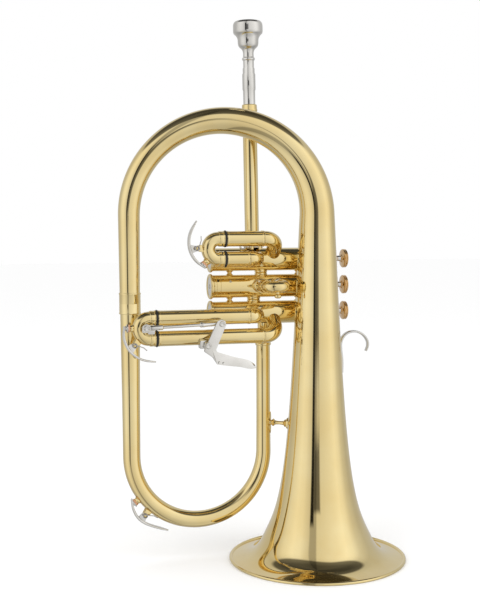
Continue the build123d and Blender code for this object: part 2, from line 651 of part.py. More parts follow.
rod_run = Vector(trigger_pin[0] - rod_pivot[0], 0, trigger_pin[1] - rod_pivot[1])
rod_along = rod_run.normalized()
rod_plane = Plane(origin=(rod_pivot[0], rod_y, rod_pivot[1]), x_dir=(0, 1, 0), z_dir=rod_along)
with BuildPart() as slide_3_link_rod:
    length = rod_run.length
    add(turned(rod_plane, ((3.2, 2.0), (13.6, 2.0), (14.2, 1.25), (46.0, 1.25), (46.4, 1.9),
                           (length - 3.0, 1.9))))
    with BuildSketch(facing(rod_y + 1.1)):
        with Locations(rod_pivot, trigger_pin):
            Circle(3.6)
    extrude(amount=2.2)
    for centre, hole in ((rod_pivot, 1.2 + fit), (trigger_pin, 2.15)):
        with BuildSketch(facing(rod_y + 3)):
            with Locations(centre):
                Circle(hole)
        extrude(amount=6, mode=Mode.SUBTRACT)
finish(slide_3_link_rod, "slide_3_link_rod")

with BuildPart() as slide_3_bracket:
    with BuildSketch(facing(slide_y + 1)):
        with Locations((rod_pivot[0] + 4.6, slide_3_z)):
            Rectangle(6.0, 8.0)
    extrude(amount=11.2)
    with BuildSketch(facing(1.6)):
        with Locations((rod_pivot[0] + 2.0, slide_3_z + 0.6)):
            RectangleRounded(11.0, 6.4, 1.2)
    extrude(amount=1.6)
    for side in (-1, 1):
        level = slide_3_z + side * leg_gap / 2
        add(rod((bow_3_x, slide_y, level), (-130, slide_y, level), leg_radius + 0.02), mode=Mode.SUBTRACT)
    add(crook_3, mode=Mode.SUBTRACT)
    add(turned(facing(0, *rod_pivot), ((0.0, 1.2), (3.6, 1.2), (3.6, 2.5), (4.8, 2.5), (5.2, 2.0))))
finish(slide_3_bracket, "slide_3_bracket")


# ---------------------------------------------------------------- water keys
# Each key is set out from its pivot: u runs along the lever to the thumb end, v away from the tube.
key_width = 4.6
cork_thickness = 1.7
cork_radius = 3.1
nozzle_length = 2.0


def water_key(number, pivot, u_angle, hand, thumb, boss, nozzle, nozzle_angle, foot, y, cutters):
    """One water key: the nozzle and hinge post on the tube, the sprung lever, and its cork.

    thumb is the lever's far end in (u, v); boss is how far the cup's stem stands over the cork."""
    ux, uz = cos(radians(u_angle)), sin(radians(u_angle))
    vx, vz = -uz * hand, ux * hand
    dx, dz = cos(radians(nozzle_angle)), sin(radians(nozzle_angle))

    def at(u, v):
        return (pivot[0] + u * ux + v * vx, pivot[1] + u * uz + v * vz)

    nozzle_plane = Plane(origin=(nozzle[0], y, nozzle[1]), x_dir=(0, 1, 0), z_dir=(dx, 0, dz))
    with BuildPart() as mount:
        add(turned(nozzle_plane, ((-1.6, 2.9), (0.5, 2.9), (nozzle_length, 2.4)), bore=1.5))
        for side in (-1, 1):
            with BuildSketch(facing(y + side * 2.2 + 0.7)):
                with BuildLine():
                    Polyline((foot[0] - 2.6 * ux, foot[1] - 2.6 * uz),
                             (foot[0] + 2.6 * ux, foot[1] + 2.6 * uz),
                             at(1.9, 0), at(0, 1.7), at(-1.9, 0), close=True)
                make_face()
            extrude(amount=1.4)
        add(rod((pivot[0], y - 3.5, pivot[1]), (pivot[0], y + 3.5, pivot[1]), 0.9))
        for cutter in cutters:
            add(cutter, mode=Mode.SUBTRACT)
    finish(mount, f"water_key_mount_{number}")

    with BuildPart() as lever:
        with BuildSketch(facing(y + key_width / 2)):
            with BuildLine() as spine:
                ThreePointArc(at(-18.0, -4.5), at(1.0, 5.8), at(*thumb))
            trace(line_width=1.6)
        extrude(amount=key_width)
        with BuildSketch(facing(y + 1.3)):
            with BuildLine():
                Polyline(at(-2.4, 0), at(-3.4, 5.2), at(4.4, 5.4), at(2.4, 0), at(1.2, -1.6), at(-1.2, -1.6),
                         close=True)
            make_face()
        extrude(amount=2.6)
        top = nozzle_length + cork_thickness + 0.05
        clear = cork_radius + 0.4
        add(turned(nozzle_plane, ((0, clear), (top, clear))), mode=Mode.SUBTRACT)
        add(turned(nozzle_plane, ((top, cork_radius + 0.5), (top + 0.9, cork_radius + 0.3), (top + 1.3, 2.2),
                                  (top + boss, 1.7))))
        with BuildSketch(facing(y + 4)):
            with Locations(pivot):
                Circle(0.9 + fit)
        extrude(amount=8, mode=Mode.SUBTRACT)
    finish(lever, f"water_key_{number}")

    with BuildPart() as cork:
        add(turned(nozzle_plane, ((nozzle_length + 0.05, cork_radius),
                                  (nozzle_length + cork_thickness, cork_radius))))
    finish(cork, f"key_cork_{number}")


def on_crook(bow_x, middle_z, angle, reach=0.0):
    return (bow_x + (skin + reach) * cos(radians(angle)), middle_z + (skin + reach) * sin(radians(angle)))


water_key(1, on_crook(bow_1_x, slide_1_z, 178, 4.2), 100.7, 1, (22.5, -4.5), 1.5,
          on_crook(bow_1_x, slide_1_z, 227), 227,
          on_crook(bow_1_x, slide_1_z, 178, -1.2), slide_y, (crook_1,))
water_key(3, on_crook(bow_3_x, slide_3_z, 227, 4.2), -50.0, -1, (22.5, -4.5), 3.4,
          on_crook(bow_3_x, slide_3_z, 178), 178,
          on_crook(bow_3_x, slide_3_z, 227, -1.2), slide_y, (crook_3,))

lower_round = tapered_bow(facing(valve_y), bow_centre, (return_x - tail_x) / 2, 180, 180, bow_radii)
outer_radius = (return_x - tail_x) / 2 + 7.3


def on_lower_bow(angle, reach=0.0):
    return (bow_centre[0] + (outer_radius + reach) * cos(radians(angle)),
            bow_centre[1] + (outer_radius + reach) * sin(radians(angle)))


water_key(2, on_lower_bow(227, 4.4), -39.0, -1, (25.0, -1.1), 1.5,
          on_lower_bow(215.5), 215.5, on_lower_bow(227, -1.2), valve_y, (lower_round,))
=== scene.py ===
import bmesh
import bpy
import math
import numpy as np
from mathutils import Matrix, Vector


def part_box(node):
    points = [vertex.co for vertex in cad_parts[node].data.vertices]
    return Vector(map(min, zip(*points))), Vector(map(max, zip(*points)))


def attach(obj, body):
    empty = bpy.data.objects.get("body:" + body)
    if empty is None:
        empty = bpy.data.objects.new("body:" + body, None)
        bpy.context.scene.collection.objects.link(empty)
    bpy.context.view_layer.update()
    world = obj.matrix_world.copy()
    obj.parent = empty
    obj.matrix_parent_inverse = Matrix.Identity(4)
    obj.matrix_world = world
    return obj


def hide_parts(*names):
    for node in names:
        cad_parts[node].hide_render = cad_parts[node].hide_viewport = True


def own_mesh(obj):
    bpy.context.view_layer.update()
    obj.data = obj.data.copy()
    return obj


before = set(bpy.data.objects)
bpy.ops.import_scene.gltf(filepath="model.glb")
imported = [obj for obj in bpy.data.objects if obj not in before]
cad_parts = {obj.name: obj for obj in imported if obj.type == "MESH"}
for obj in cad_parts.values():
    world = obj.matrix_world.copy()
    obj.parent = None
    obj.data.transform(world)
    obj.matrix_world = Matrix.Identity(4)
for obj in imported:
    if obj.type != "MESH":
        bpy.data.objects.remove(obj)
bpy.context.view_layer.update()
scene = bpy.context.scene
scene.view_settings.view_transform = "Standard"

# ---------------------------------------------------------------- the set
# A pale floor in a white room. Polished brass shows the room, so the room has what a studio has:
# a wide soft light to each side, paler walls, a dim ceiling, and a dark gap where the camera stands.
camera_place = (-0.2964, -0.8643, 0.2824)
camera_heading, camera_tilt, camera_roll = -14.8, 86.03, -0.29
camera = bpy.data.objects.new("camera", bpy.data.cameras.new("camera"))
camera.data.lens = 62.94
camera.data.sensor_width = 36.0
camera.matrix_world = (Matrix.Translation(camera_place)
                       @ Matrix.Rotation(math.radians(camera_heading), 4, "Z")
                       @ Matrix.Rotation(math.radians(camera_tilt), 4, "X")
                       @ Matrix.Rotation(math.radians(camera_roll), 4, "Z"))
scene.collection.objects.link(camera)
scene.camera = camera


def add_node(tree, kind, at, **inputs):
    """One shader node in column and row at, with inputs set or linked by name, or by place as i0, i1."""
    made = tree.nodes.new(kind)
    made.location = (at[0] * 200, at[1] * -180)
    for name, value in inputs.items():
        if name[0] == "i" and name[1:].isdigit():
            socket = made.inputs[int(name[1:])]
        else:
            socket = made.inputs[name.replace("_", " ")]
        if isinstance(value, bpy.types.NodeSocket):
            tree.links.new(value, socket)
        else:
            socket.default_value = value
    return made


def math_node(tree, operation, at, *values):
    """Result of one sum on the given values."""
    made = add_node(tree, "ShaderNodeMath", at, **{f"i{place}": value for place, value in enumerate(values)})
    made.operation = operation
    return made.outputs[0]


def ramp_node(tree, at, factor, stops, blend="LINEAR"):
    """Colour ramp from (place, grey level or colour) stops."""
    made = add_node(tree, "ShaderNodeValToRGB", at, Fac=factor)
    band = made.color_ramp
    band.interpolation = blend
    while len(band.elements) < len(stops):
        band.elements.new(0.5)
    for element, (place, shade) in zip(band.elements, stops):
        element.position = place
    for element, (place, shade) in zip(band.elements, stops):
        element.color = (shade, shade, shade, 1) if isinstance(shade, (int, float)) else (*shade, 1)
    return made.outputs["Color"]


# What the brass sees, as brightness at each angle: round the room from the front of the horn (0), and
# from the floor (-90) to the ceiling (90). The ceiling's dark part comes lower at the sides.
studio_turn = 14.4
round_the_room = ((-180, 0.66), (-140, 0.60), (-118, 0.56), (-98, 0.66), (-84, 0.84), (-62, 0.98),
                  (-44, 0.92), (-34, 0.80), (-25, 0.70), (-22, 0.42), (-8, 0.42), (-5, 0.76), (22, 0.86),
                  (46, 0.96), (62, 1.04), (78, 0.94), (94, 0.70), (118, 0.54), (142, 0.56), (180, 0.66))
floor_to_ceiling = ((-90, 0.62), (-40, 0.74), (-12, 0.92), (20, 1.0), (44, 1.04), (53, 0.96), (58, 0.20),
                    (72, 0.10), (90, 0.08))
camera_gap = ((-24, 1.0), (-22, 0.04), (-15, 0.04), (-13, 1.0))
gap_height = ((-18, 1.0), (-12, 0.0), (20, 0.0), (26, 1.0))
camera_side = ((-15, 1.0), (-13, 0.22), (2, 0.22), (6, 1.0))
camera_height = ((-1, 1.0), (1, 0.0), (12, 0.0), (16, 1.0))
ceiling_drop = ((-180, 0.0), (-135, 0.03), (-95, 0.09), (-60, 0.075), (-15, 0.02), (30, 0.0), (62, 0.055),
                (95, 0.09), (135, 0.03), (180, 0.0))
room = bpy.data.worlds.new("room")
room.use_nodes = True
tree = room.node_tree
tree.nodes.clear()
sight = add_node(tree, "ShaderNodeTexCoord", (-6, 0))
turned_sight = add_node(tree, "ShaderNodeVectorRotate", (-5, 0), Vector=sight.outputs["Generated"],
                        Angle=math.radians(studio_turn))
turned_sight.rotation_type = "Z_AXIS"
axes = add_node(tree, "ShaderNodeSeparateXYZ", (-4, 0), Vector=turned_sight.outputs[0])
ahead = math_node(tree, "MULTIPLY", (-3, 0), axes.outputs["Y"], -1.0)
azimuth = math_node(tree, "ARCTAN2", (-2, 0), axes.outputs["X"], ahead)
azimuth = math_node(tree, "MULTIPLY_ADD", (-1, 0), azimuth, 0.5 / math.pi, 0.5)
height = math_node(tree, "ARCSINE", (-2, 2), axes.outputs["Z"])
height = math_node(tree, "MULTIPLY_ADD", (-1, 2), height, 1 / math.pi, 0.5)


def as_places(profile, full_turn):
    """Ramp places from a profile's angles in degrees."""
    return [(angle / full_turn + 0.5, shade) for angle, shade in profile]


walls = ramp_node(tree, (0, 0), azimuth, as_places(round_the_room, 360))
drop = ramp_node(tree, (0, 6), azimuth, as_places(ceiling_drop, 360), "B_SPLINE")
raised = math_node(tree, "ADD", (1, 6), height, drop)
levels = ramp_node(tree, (0, 2), raised, as_places(floor_to_ceiling, 180))
gap = ramp_node(tree, (0, -2), azimuth, as_places(camera_gap, 360))
above_gap = ramp_node(tree, (0, 4), height, as_places(gap_height, 180))
gap = math_node(tree, "MAXIMUM", (1, 3), gap, above_gap)
stand = ramp_node(tree, (0, -4), azimuth, as_places(camera_side, 360))
above_stand = ramp_node(tree, (0, 8), height, as_places(camera_height, 180))
stand = math_node(tree, "MAXIMUM", (1, 8), stand, above_stand)
lit = math_node(tree, "MULTIPLY", (1, 1), walls, levels)
seen_in_brass = math_node(tree, "MULTIPLY", (2, 1), lit, math_node(tree, "MULTIPLY", (2, 3), gap, stand))
paths = add_node(tree, "ShaderNodeLightPath", (0, 6))
plain = add_node(tree, "ShaderNodeMix", (3, 1), Factor=paths.outputs["Is Glossy Ray"], i2=1.0,
                 i3=seen_in_brass)
backdrop = add_node(tree, "ShaderNodeBackground", (4, 1), Color=(1, 1, 1, 1), Strength=plain.outputs[0])
add_node(tree, "ShaderNodeOutputWorld", (5, 1), Surface=backdrop.outputs[0])
scene.world = room

lamp_target = Vector((-0.05, 0.0, 0.2))
softboxes = (("left_softbox", (-1.6, -1.1, 0.9), 1.2, 9.0), ("right_softbox", (1.3, -1.5, 0.9), 1.2, 9.0))
for name, place, size, watts in softboxes:
    lamp = bpy.data.objects.new(name, bpy.data.lights.new(name, "AREA"))
    lamp.data.size = size
    lamp.data.energy = watts
    lamp.visible_glossy = False
    lamp.visible_camera = False
    aim = (lamp_target - Vector(place)).to_track_quat("-Z", "Y").to_matrix().to_4x4()
    lamp.matrix_world = Matrix.Translation(place) @ aim
    scene.collection.objects.link(lamp)


def blank_material(name, **settings):
    """Material with the named inputs of its shader set."""
    made = bpy.data.materials.new(name)
    made.use_nodes = True
    for setting, value in settings.items():
        made.node_tree.nodes["Principled BSDF"].inputs[setting.replace("_", " ")].default_value = value
    return made


floor_reach = 9.0
floor_skin = bmesh.new()
bmesh.ops.create_grid(floor_skin, x_segments=1, y_segments=1, size=floor_reach)
floor_mesh = bpy.data.meshes.new("floor")
floor_skin.to_mesh(floor_mesh)
floor_skin.free()
paper = blank_material("paper", Base_Color=(0.98, 0.98, 0.98, 1), Roughness=1.0, Specular_IOR_Level=0.0)
floor_mesh.materials.append(paper)
floor = bpy.data.objects.new("floor", floor_mesh)
floor.visible_glossy = False
scene.collection.objects.link(floor)

# ---------------------------------------------------------------- bell
# The bell is one sheet of yellow brass spun thin, with its edge rolled over a wire, then buffed
# bright and sprayed with clear lacquer. It tapers up into the top bow without a step.
mm = 0.001
sharp_angle, bevel_angle = 38, 28


def worked_surface():
    """Node group: slow clouding in the lacquer, and the fine lines that buffing leaves."""
    group = bpy.data.node_groups.new("worked_surface", "ShaderNodeTree")
    for name, value in (("Cloud Scale", 22.0), ("Line Scale", 900.0)):
        group.interface.new_socket(name, in_out="INPUT", socket_type="NodeSocketFloat").default_value = value
    for name in ("Cloud", "Lines"):
        group.interface.new_socket(name, in_out="OUTPUT", socket_type="NodeSocketFloat")
    inlet = group.nodes.new("NodeGroupInput")
    outlet = group.nodes.new("NodeGroupOutput")
    where = add_node(group, "ShaderNodeTexCoord", (-4, 0))
    cloud = add_node(group, "ShaderNodeTexNoise", (-2, 0), Vector=where.outputs["Object"],
                     Scale=inlet.outputs["Cloud Scale"], Detail=3.0, Roughness=0.55)
    drawn = add_node(group, "ShaderNodeMapping", (-3, 2), Vector=where.outputs["Object"],
                     Scale=(1.0, 1.0, 0.16))
    lines = add_node(group, "ShaderNodeTexNoise", (-2, 2), Vector=drawn.outputs[0],
                     Scale=inlet.outputs["Line Scale"], Detail=2.0, Roughness=0.6)
    group.links.new(cloud.outputs["Fac"], outlet.inputs["Cloud"])
    group.links.new(lines.outputs["Fac"], outlet.inputs["Lines"])
    return group


surface_group = worked_surface()


def metal(name, pale, deep, smooth, dull, lacquer, cloud_scale=22.0, line_scale=900.0, line_depth=0.004):
    """Polished metal: two tones, a range of roughness, buffing lines, and a coat of lacquer."""
    made = blank_material(name, Metallic=1.0, Coat_Weight=lacquer, Coat_Roughness=0.02, Coat_IOR=1.5)
    tree = made.node_tree
    shader = tree.nodes["Principled BSDF"]
    worked = add_node(tree, "ShaderNodeGroup", (-6, 0))
    worked.node_tree = surface_group
    worked.inputs["Cloud Scale"].default_value = cloud_scale
    worked.inputs["Line Scale"].default_value = line_scale
    tone = ramp_node(tree, (-4, 0), worked.outputs["Cloud"], ((0.30, deep), (0.72, pale)), "EASE")
    polish = add_node(tree, "ShaderNodeMapRange", (-4, 2), Value=worked.outputs["Lines"],
                      From_Min=0.3, From_Max=0.8, To_Min=smooth, To_Max=dull)
    relief = add_node(tree, "ShaderNodeBump", (-2, 4), Height=worked.outputs["Lines"], Strength=0.25,
                      Distance=line_depth * mm)
    tree.links.new(tone, shader.inputs["Base Color"])
    tree.links.new(polish.outputs["Result"], shader.inputs["Roughness"])
    tree.links.new(relief.outputs[0], shader.inputs["Normal"])
    return made


lacquered_brass = metal("lacquered_brass", (0.91, 0.752, 0.395), (0.87, 0.68, 0.315), 0.03, 0.08, 0.25)


def smooth_line(points, count):
    """Points along a natural cubic spline through the given points."""
    given = np.array(points, float)
    along = np.concatenate(([0.0], np.cumsum(np.linalg.norm(np.diff(given, axis=0), axis=1))))
    gap = np.diff(along)
    ends = len(given) - 1
    system = np.eye(ends + 1)
    pull = np.zeros_like(given)
    for i in range(1, ends):
        system[i, i - 1:i + 2] = gap[i - 1], 2 * (gap[i - 1] + gap[i]), gap[i]
        pull[i] = 6 * ((given[i + 1] - given[i]) / gap[i] - (given[i] - given[i - 1]) / gap[i - 1])
    bend = np.linalg.solve(system, pull)
    line = []
    for place in np.linspace(0, along[-1], count):
        i = min(int(np.searchsorted(along, place, side="right")) - 1, ends - 1)
        left, right = along[i + 1] - place, place - along[i]
        line.append(tuple((bend[i] * left ** 3 + bend[i + 1] * right ** 3) / (6 * gap[i])
                          + (given[i] / gap[i] - bend[i] * gap[i] / 6) * left
                          + (given[i + 1] / gap[i] - bend[i + 1] * gap[i] / 6) * right))
    return line


def axis_frame(foot, axis, side=None):
    """Matrix that takes local z to an axis, and local x to a side, at a foot."""
    z = Vector(axis).normalized()
    x = Vector(side) if side else (Vector((0, 1, 0)) if abs(z.y) < 0.9 else Vector((1, 0, 0)))
    x = (x - z * x.dot(z)).normalized()
    made = Matrix((x, z.cross(x), z)).transposed().to_4x4()
    made.translation = Vector(foot)
    return made


def face_outward(skin):
    """Turns every face of a skin outward."""
    bmesh.ops.recalc_face_normals(skin, faces=skin.faces)


def turned(outline, foot, axis, steps=64, ring=False):
    """Skin spun from an outline of (distance along the axis, radius); a ring's outline is a loop."""
    skin = bmesh.new()
    points = [skin.verts.new((radius, 0, along)) for along, radius in outline]
    lines = [skin.edges.new(pair) for pair in zip(points, points[1:])]
    if ring:
        lines.append(skin.edges.new((points[-1], points[0])))
    bmesh.ops.spin(skin, geom=points + lines, cent=(0, 0, 0), axis=(0, 0, 1), angle=2 * math.pi, steps=steps,
                   use_merge=True)
    bmesh.ops.remove_doubles(skin, verts=skin.verts, dist=1e-4)
    face_outward(skin)
    skin.transform(axis_frame(foot, axis))
    return skin


def together(first, *others):
    """Joins skins into one."""
    for other in others:
        mesh = bpy.data.meshes.new("joined")
        other.to_mesh(mesh)
        other.free()
        first.from_mesh(mesh)
        bpy.data.meshes.remove(mesh)
    return first


def fit(skin, name, nodes=(), body="horn", finish=lacquered_brass, edge=0.0):
    """Makes a skin in millimetres a piece of the model, in place of its CAD solids."""
    skin.transform(Matrix.Scale(mm, 4))
    mesh = bpy.data.meshes.new(name)
    skin.to_mesh(mesh)
    skin.free()
    mesh.shade_smooth()
    mesh.materials.append(finish)
    piece = bpy.data.objects.new(name, mesh)
    scene.collection.objects.link(piece)
    if not edge:
        mesh.set_sharp_from_angle(angle=math.radians(sharp_angle))
    else:
        soften = piece.modifiers.new("edges", "BEVEL")
        soften.width = edge * mm
        soften.segments = 2
        soften.limit_method = "ANGLE"
        soften.angle_limit = math.radians(bevel_angle)
        soften.harden_normals = True
    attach(piece, body)
    if nodes:
        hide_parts(*nodes)
    return piece


bow_z = 296.0
sheet = 0.7
flare = ((74.6, 1.5), (64.4, 3.2), (56.4, 6.5), (50.9, 12), (46.0, 21), (39.6, 35), (33.6, 55), (27.9, 90),
         (23.3, 140), (19.1, 210), (14.9, bow_z))
bead_centre, bead_radius = (74.7, 1.38), 1.5
bead_start, bead_end, bead_steps = 168, -164, 24
outer_line = [point for point in smooth_line(flare, 170) if point[0] < bead_centre[0] - 1.47]
slopes = np.gradient(np.array(outer_line), axis=0)
slopes /= np.linalg.norm(slopes, axis=1)[:, None]
inner_line = [(r - sheet * dz, z + sheet * dr) for (r, z), (dr, dz) in zip(outer_line, slopes)]
bead_line = []
for step in range(bead_steps + 1):
    angle = math.radians(bead_start + step * (bead_end - bead_start) / bead_steps)
    bead_line.append((bead_centre[0] + bead_radius * math.cos(angle),
                      max(0.0, bead_centre[1] + bead_radius * math.sin(angle))))
bell_outline = outer_line[::-1] + bead_line + inner_line
fit(turned([(z, r) for r, z in bell_outline], (0, 0, 0), (0, 0, 1), steps=192, ring=True), "bell_flare",
    ("bell",))

# ---------------------------------------------------------------- top bow and tail tube
# The bell's stem carries on as a tapered tube bent into the top of the loop, then runs straight
# down the far side. The tubes butt under a drawn ferrule with a bead at each end, soft soldered.
tail = (-156.2, 29.6)
valve_y = 29.6
span = math.hypot(*tail)
loop_dir = Vector((tail[0] / span, tail[1] / span, 0))
up = Vector((0, 0, 1))


def swept(stations, side, sides=48, wall=0.5):
    """Tube skinned over rings, then back up its bore; a station is (centre, direction, radius)."""
    skin = bmesh.new()
    loops = []
    bore = [(centre, direction, radius - wall) for centre, direction, radius in reversed(stations)]
    for centre, direction, radius in stations + bore:
        before = len(skin.edges)
        bmesh.ops.create_circle(skin, segments=sides, radius=radius,
                                matrix=axis_frame(centre, direction, side))
        skin.edges.ensure_lookup_table()
        loops.append(skin.edges[before:])
    for pair in zip(loops, loops[1:] + loops[:1]):
        bmesh.ops.bridge_loops(skin, edges=pair[0] + pair[1])
    face_outward(skin)
    return skin


def bow(centre, radius, out, down, radii, count):
    """Stations round a half circle that starts at centre + out and passes centre + down."""
    sizes = smooth_line([(step * 40.0, size) for step, size in enumerate(radii)], count)
    stations = []
    for step, (place, size) in enumerate(sizes):
        angle = math.pi * step / (count - 1)
        place = centre + radius * (math.cos(angle) * out + math.sin(angle) * down)
        stations.append((place, -math.sin(angle) * out + math.cos(angle) * down, size))
    return stations


top_centre = loop_dir * span / 2 + up * bow_z
top_stations = bow(top_centre, span / 2, -loop_dir, up, (14.9, 12.9, 11.15, 9.95, 9.15), 97)
fit(swept(top_stations, loop_dir.cross(up), 72), "top_bow_tube", ("bell_bow",))
tail_foot = (tail[0], tail[1], 0)
fit(turned(((223, 8.0), (223, 8.55), (233, 8.6), (264, 8.88), (bow_z, 9.15), (bow_z, 8.5)), tail_foot, up, 72,
           ring=True), "tail_tube", ("bell_tail_tube",))
fit(turned(((213.6, 8.65), (213.6, 8.95), (213.9, 9.2), (214.4, 9.3), (214.9, 9.2), (215.2, 9.0),
            (222.2, 9.02), (222.5, 8.9), (222.8, 9.02), (230.0, 9.0), (230.3, 9.2), (230.8, 9.3),
            (231.3, 9.2), (231.7, 8.95), (231.7, 8.65)), tail_foot, up, 72, ring=True), "tail_ferrule",
    ("bell_ferrule",))

# ---------------------------------------------------------------- lower bow
# The main tubing comes down the far side, turns under in a wide bow and climbs to the third
# valve, narrowing all the way. A short stepped ferrule joins it to the valve's thinner knuckle.
return_x = -39.6
lower_z = 92.0
lower_radius = (return_x - tail[0]) / 2
lower_centre = Vector(((return_x + tail[0]) / 2, valve_y, lower_z))
left = Vector((-1, 0, 0))
leg_down = ((222.6, 8.4), (180, 7.98), (140, 7.6), (115, 7.48))
leg_up = ((108, 6.2), (125, 6.05), (160, 6.0), (188, 6.0))
lower_stations = [((tail[0], valve_y, z), -up, r) for z, r in leg_down]
lower_stations += bow(lower_centre, lower_radius, left, -up, (7.4, 7.3, 7.15, 6.8, 6.35), 81)
lower_stations += [((return_x, valve_y, z), up, r) for z, r in leg_up]
fit(swept(lower_stations, (0, 1, 0), 64), "lower_bow_tube", ("lower_bow",))
return_foot = (return_x, valve_y, 0)
fit(turned(((183.6, 6.05), (183.6, 6.4), (184.0, 6.75), (184.6, 6.85), (185.6, 6.85), (186.2, 6.6),
            (186.6, 6.4), (188.2, 6.3), (189.2, 4.9), (190.0, 4.7), (203.4, 4.7), (203.4, 4.1), (188.4, 4.1),
            (188.2, 6.05)), return_foot, up, 64, ring=True), "knuckle_ferrule", ("lower_bow_ferrule",))

# ---------------------------------------------------------------- brace from lower bow to bell
# A turned brass stay holds the return leg off the bell. It has a diamond flange bent round the
# leg, a beaded waist, and a round foot shaped to the bell, both brazed on.
brace_z = 116.0
to_bell = Vector((-return_x, -valve_y, 0)).normalized()
brace_foot = Vector((return_x, valve_y, brace_z))
stay = turned(((6.4, 0), (6.4, 2.6), (7.2, 2.2), (8.2, 2.2), (8.8, 3.0), (9.4, 3.4), (10.0, 3.0), (10.6, 2.1),
               (12.6, 1.65), (15.0, 1.55), (17.4, 1.65), (19.2, 2.1), (19.8, 3.0), (20.4, 3.4), (21.0, 3.0),
               (21.6, 2.2), (24.6, 2.6), (24.6, 0)), brace_foot, to_bell, 40)


def wrapped_plate(outline, around, axis, outward, radius, thickness):
    """Thin plate of an (along, across) outline bent round a tube."""
    axis, outward = Vector(axis).normalized(), Vector(outward).normalized()
    skin = bmesh.new()
    lows = min(y for x, y in outline)
    highs = max(y for x, y in outline)
    skin.faces.new([skin.verts.new((x, y, 0)) for x, y in outline])
    for step in range(1, 16):
        cut = lows + (highs - lows) * step / 16
        bmesh.ops.bisect_plane(skin, geom=skin.verts[:] + skin.edges[:] + skin.faces[:], plane_co=(0, cut, 0),
                               plane_no=(0, 1, 0))
    sideways = axis.cross(outward)
    for vert in skin.verts:
        along, angle = vert.co.x, vert.co.y / radius
        vert.co = axis * along + radius * (outward * math.cos(angle) + sideways * math.sin(angle))
    face_outward(skin)
    if sum((face.normal.dot(outward) for face in skin.faces)) < 0:
        bmesh.ops.reverse_faces(skin, faces=skin.faces)
    bmesh.ops.solidify(skin, geom=skin.faces[:], thickness=-thickness)
    face_outward(skin)
    skin.transform(Matrix.Translation(Vector(around)))
    return skin


diamond = ((-9.4, 0), (-4.2, -2.6), (0, -4.9), (4.2, -2.6), (9.4, 0), (4.2, 2.6), (0, 4.9), (-4.2, 2.6))
flange = wrapped_plate(diamond, brace_foot, up, to_bell, 6.15, 0.8)
bell_foot = turned(((21.4, 0), (21.4, 2.4), (22.2, 4.6), (22.9, 5.2), (24.4, 5.2), (24.4, 0)), brace_foot,
                   to_bell, 40)
fit(together(stay, flange, bell_foot), "bell_stay", ("bell_brace",))

# ---------------------------------------------------------------- valve cluster
# Three drawn casings lie one over another, joined by turned knuckles that carry the wind and by
# plain posts. A screw cap closes each end; the bottom cap has a nickelled face with a vent.
valve_z = (258.5, 235.5, 212.5)
casing_x0, casing_x1, casing_radius = -85.4, 6.0, 9.85
across = Vector((1, 0, 0))
nickel = metal("nickel_plate", (0.80, 0.78, 0.73), (0.70, 0.68, 0.63), 0.10, 0.26, 0.0, 60.0, 1400.0, 0.01)
steel = metal("spring_steel", (0.62, 0.61, 0.60), (0.48, 0.47, 0.46), 0.16, 0.32, 0.0, 200.0)
for number, z in enumerate(valve_z, 1):
    axle = (0, valve_y, z)
    barrel = [(casing_x0, 8.5), (casing_x0, 9.6), (casing_x0 + 0.5, casing_radius)]
    for line in (-82.6, -79.2, -2.6):
        barrel += [(line - 0.3, casing_radius), (line, casing_radius - 0.18), (line + 0.3, casing_radius)]
    barrel += [(casing_x1 - 0.5, casing_radius), (casing_x1, 9.6), (casing_x1, 8.5)]
    fit(turned(barrel, axle, across, 96, ring=True), f"casing_{number}", (f"valve_casing_{number}",),
        edge=0.08)
    rim = turned(((-80.4, 8.3), (-85.35, 8.3), (-85.35, 10.3), (-85.7, 10.8), (-86.0, 10.95), (-86.9, 10.95),
                  (-87.3, 10.8), (-87.65, 10.4), (-87.8, 9.7), (-87.75, 9.0), (-87.6, 8.3), (-87.3, 7.9),
                  (-85.8, 7.9), (-80.4, 7.9)), axle, across, 96, ring=True)
    fit(rim, f"bottom_cap_rim_{number}", (f"bottom_cap_{number}",))
    face = turned(((-86.3, 0), (-86.3, 1.7), (-87.1, 1.9), (-87.3, 2.3), (-87.2, 2.9), (-87.15, 5.4),
                   (-87.3, 7.4), (-87.2, 7.95), (-85.2, 7.95), (-85.2, 0)), axle, across, 72)
    fit(face, f"bottom_cap_face_{number}", finish=nickel)
    cap = [(6.05, 7.6), (6.05, 10.2), (6.5, 10.7), (6.9, 10.95), (11.1, 10.95), (11.5, 10.7), (12.0, 10.2),
           (12.6, 9.7), (13.4, 8.7), (14.1, 7.0), (14.5, 5.6), (14.8, 5.0), (15.0, 4.3), (15.0, 2.55),
           (11.4, 2.55), (11.4, 7.6)]
    lid = turned(cap, (0, 0, 0), (0, 0, 1), 180, ring=True)
    for vert in lid.verts:
        ridge = round(math.degrees(math.atan2(vert.co.y, vert.co.x)) / 2)
        if ridge % 2 and vert.co.xy.length > 10.9:
            vert.co.xy *= 10.6 / 10.95
    lid.transform(axis_frame(axle, across))
    fit(lid, f"top_cap_lid_{number}", (f"top_cap_{number}",))

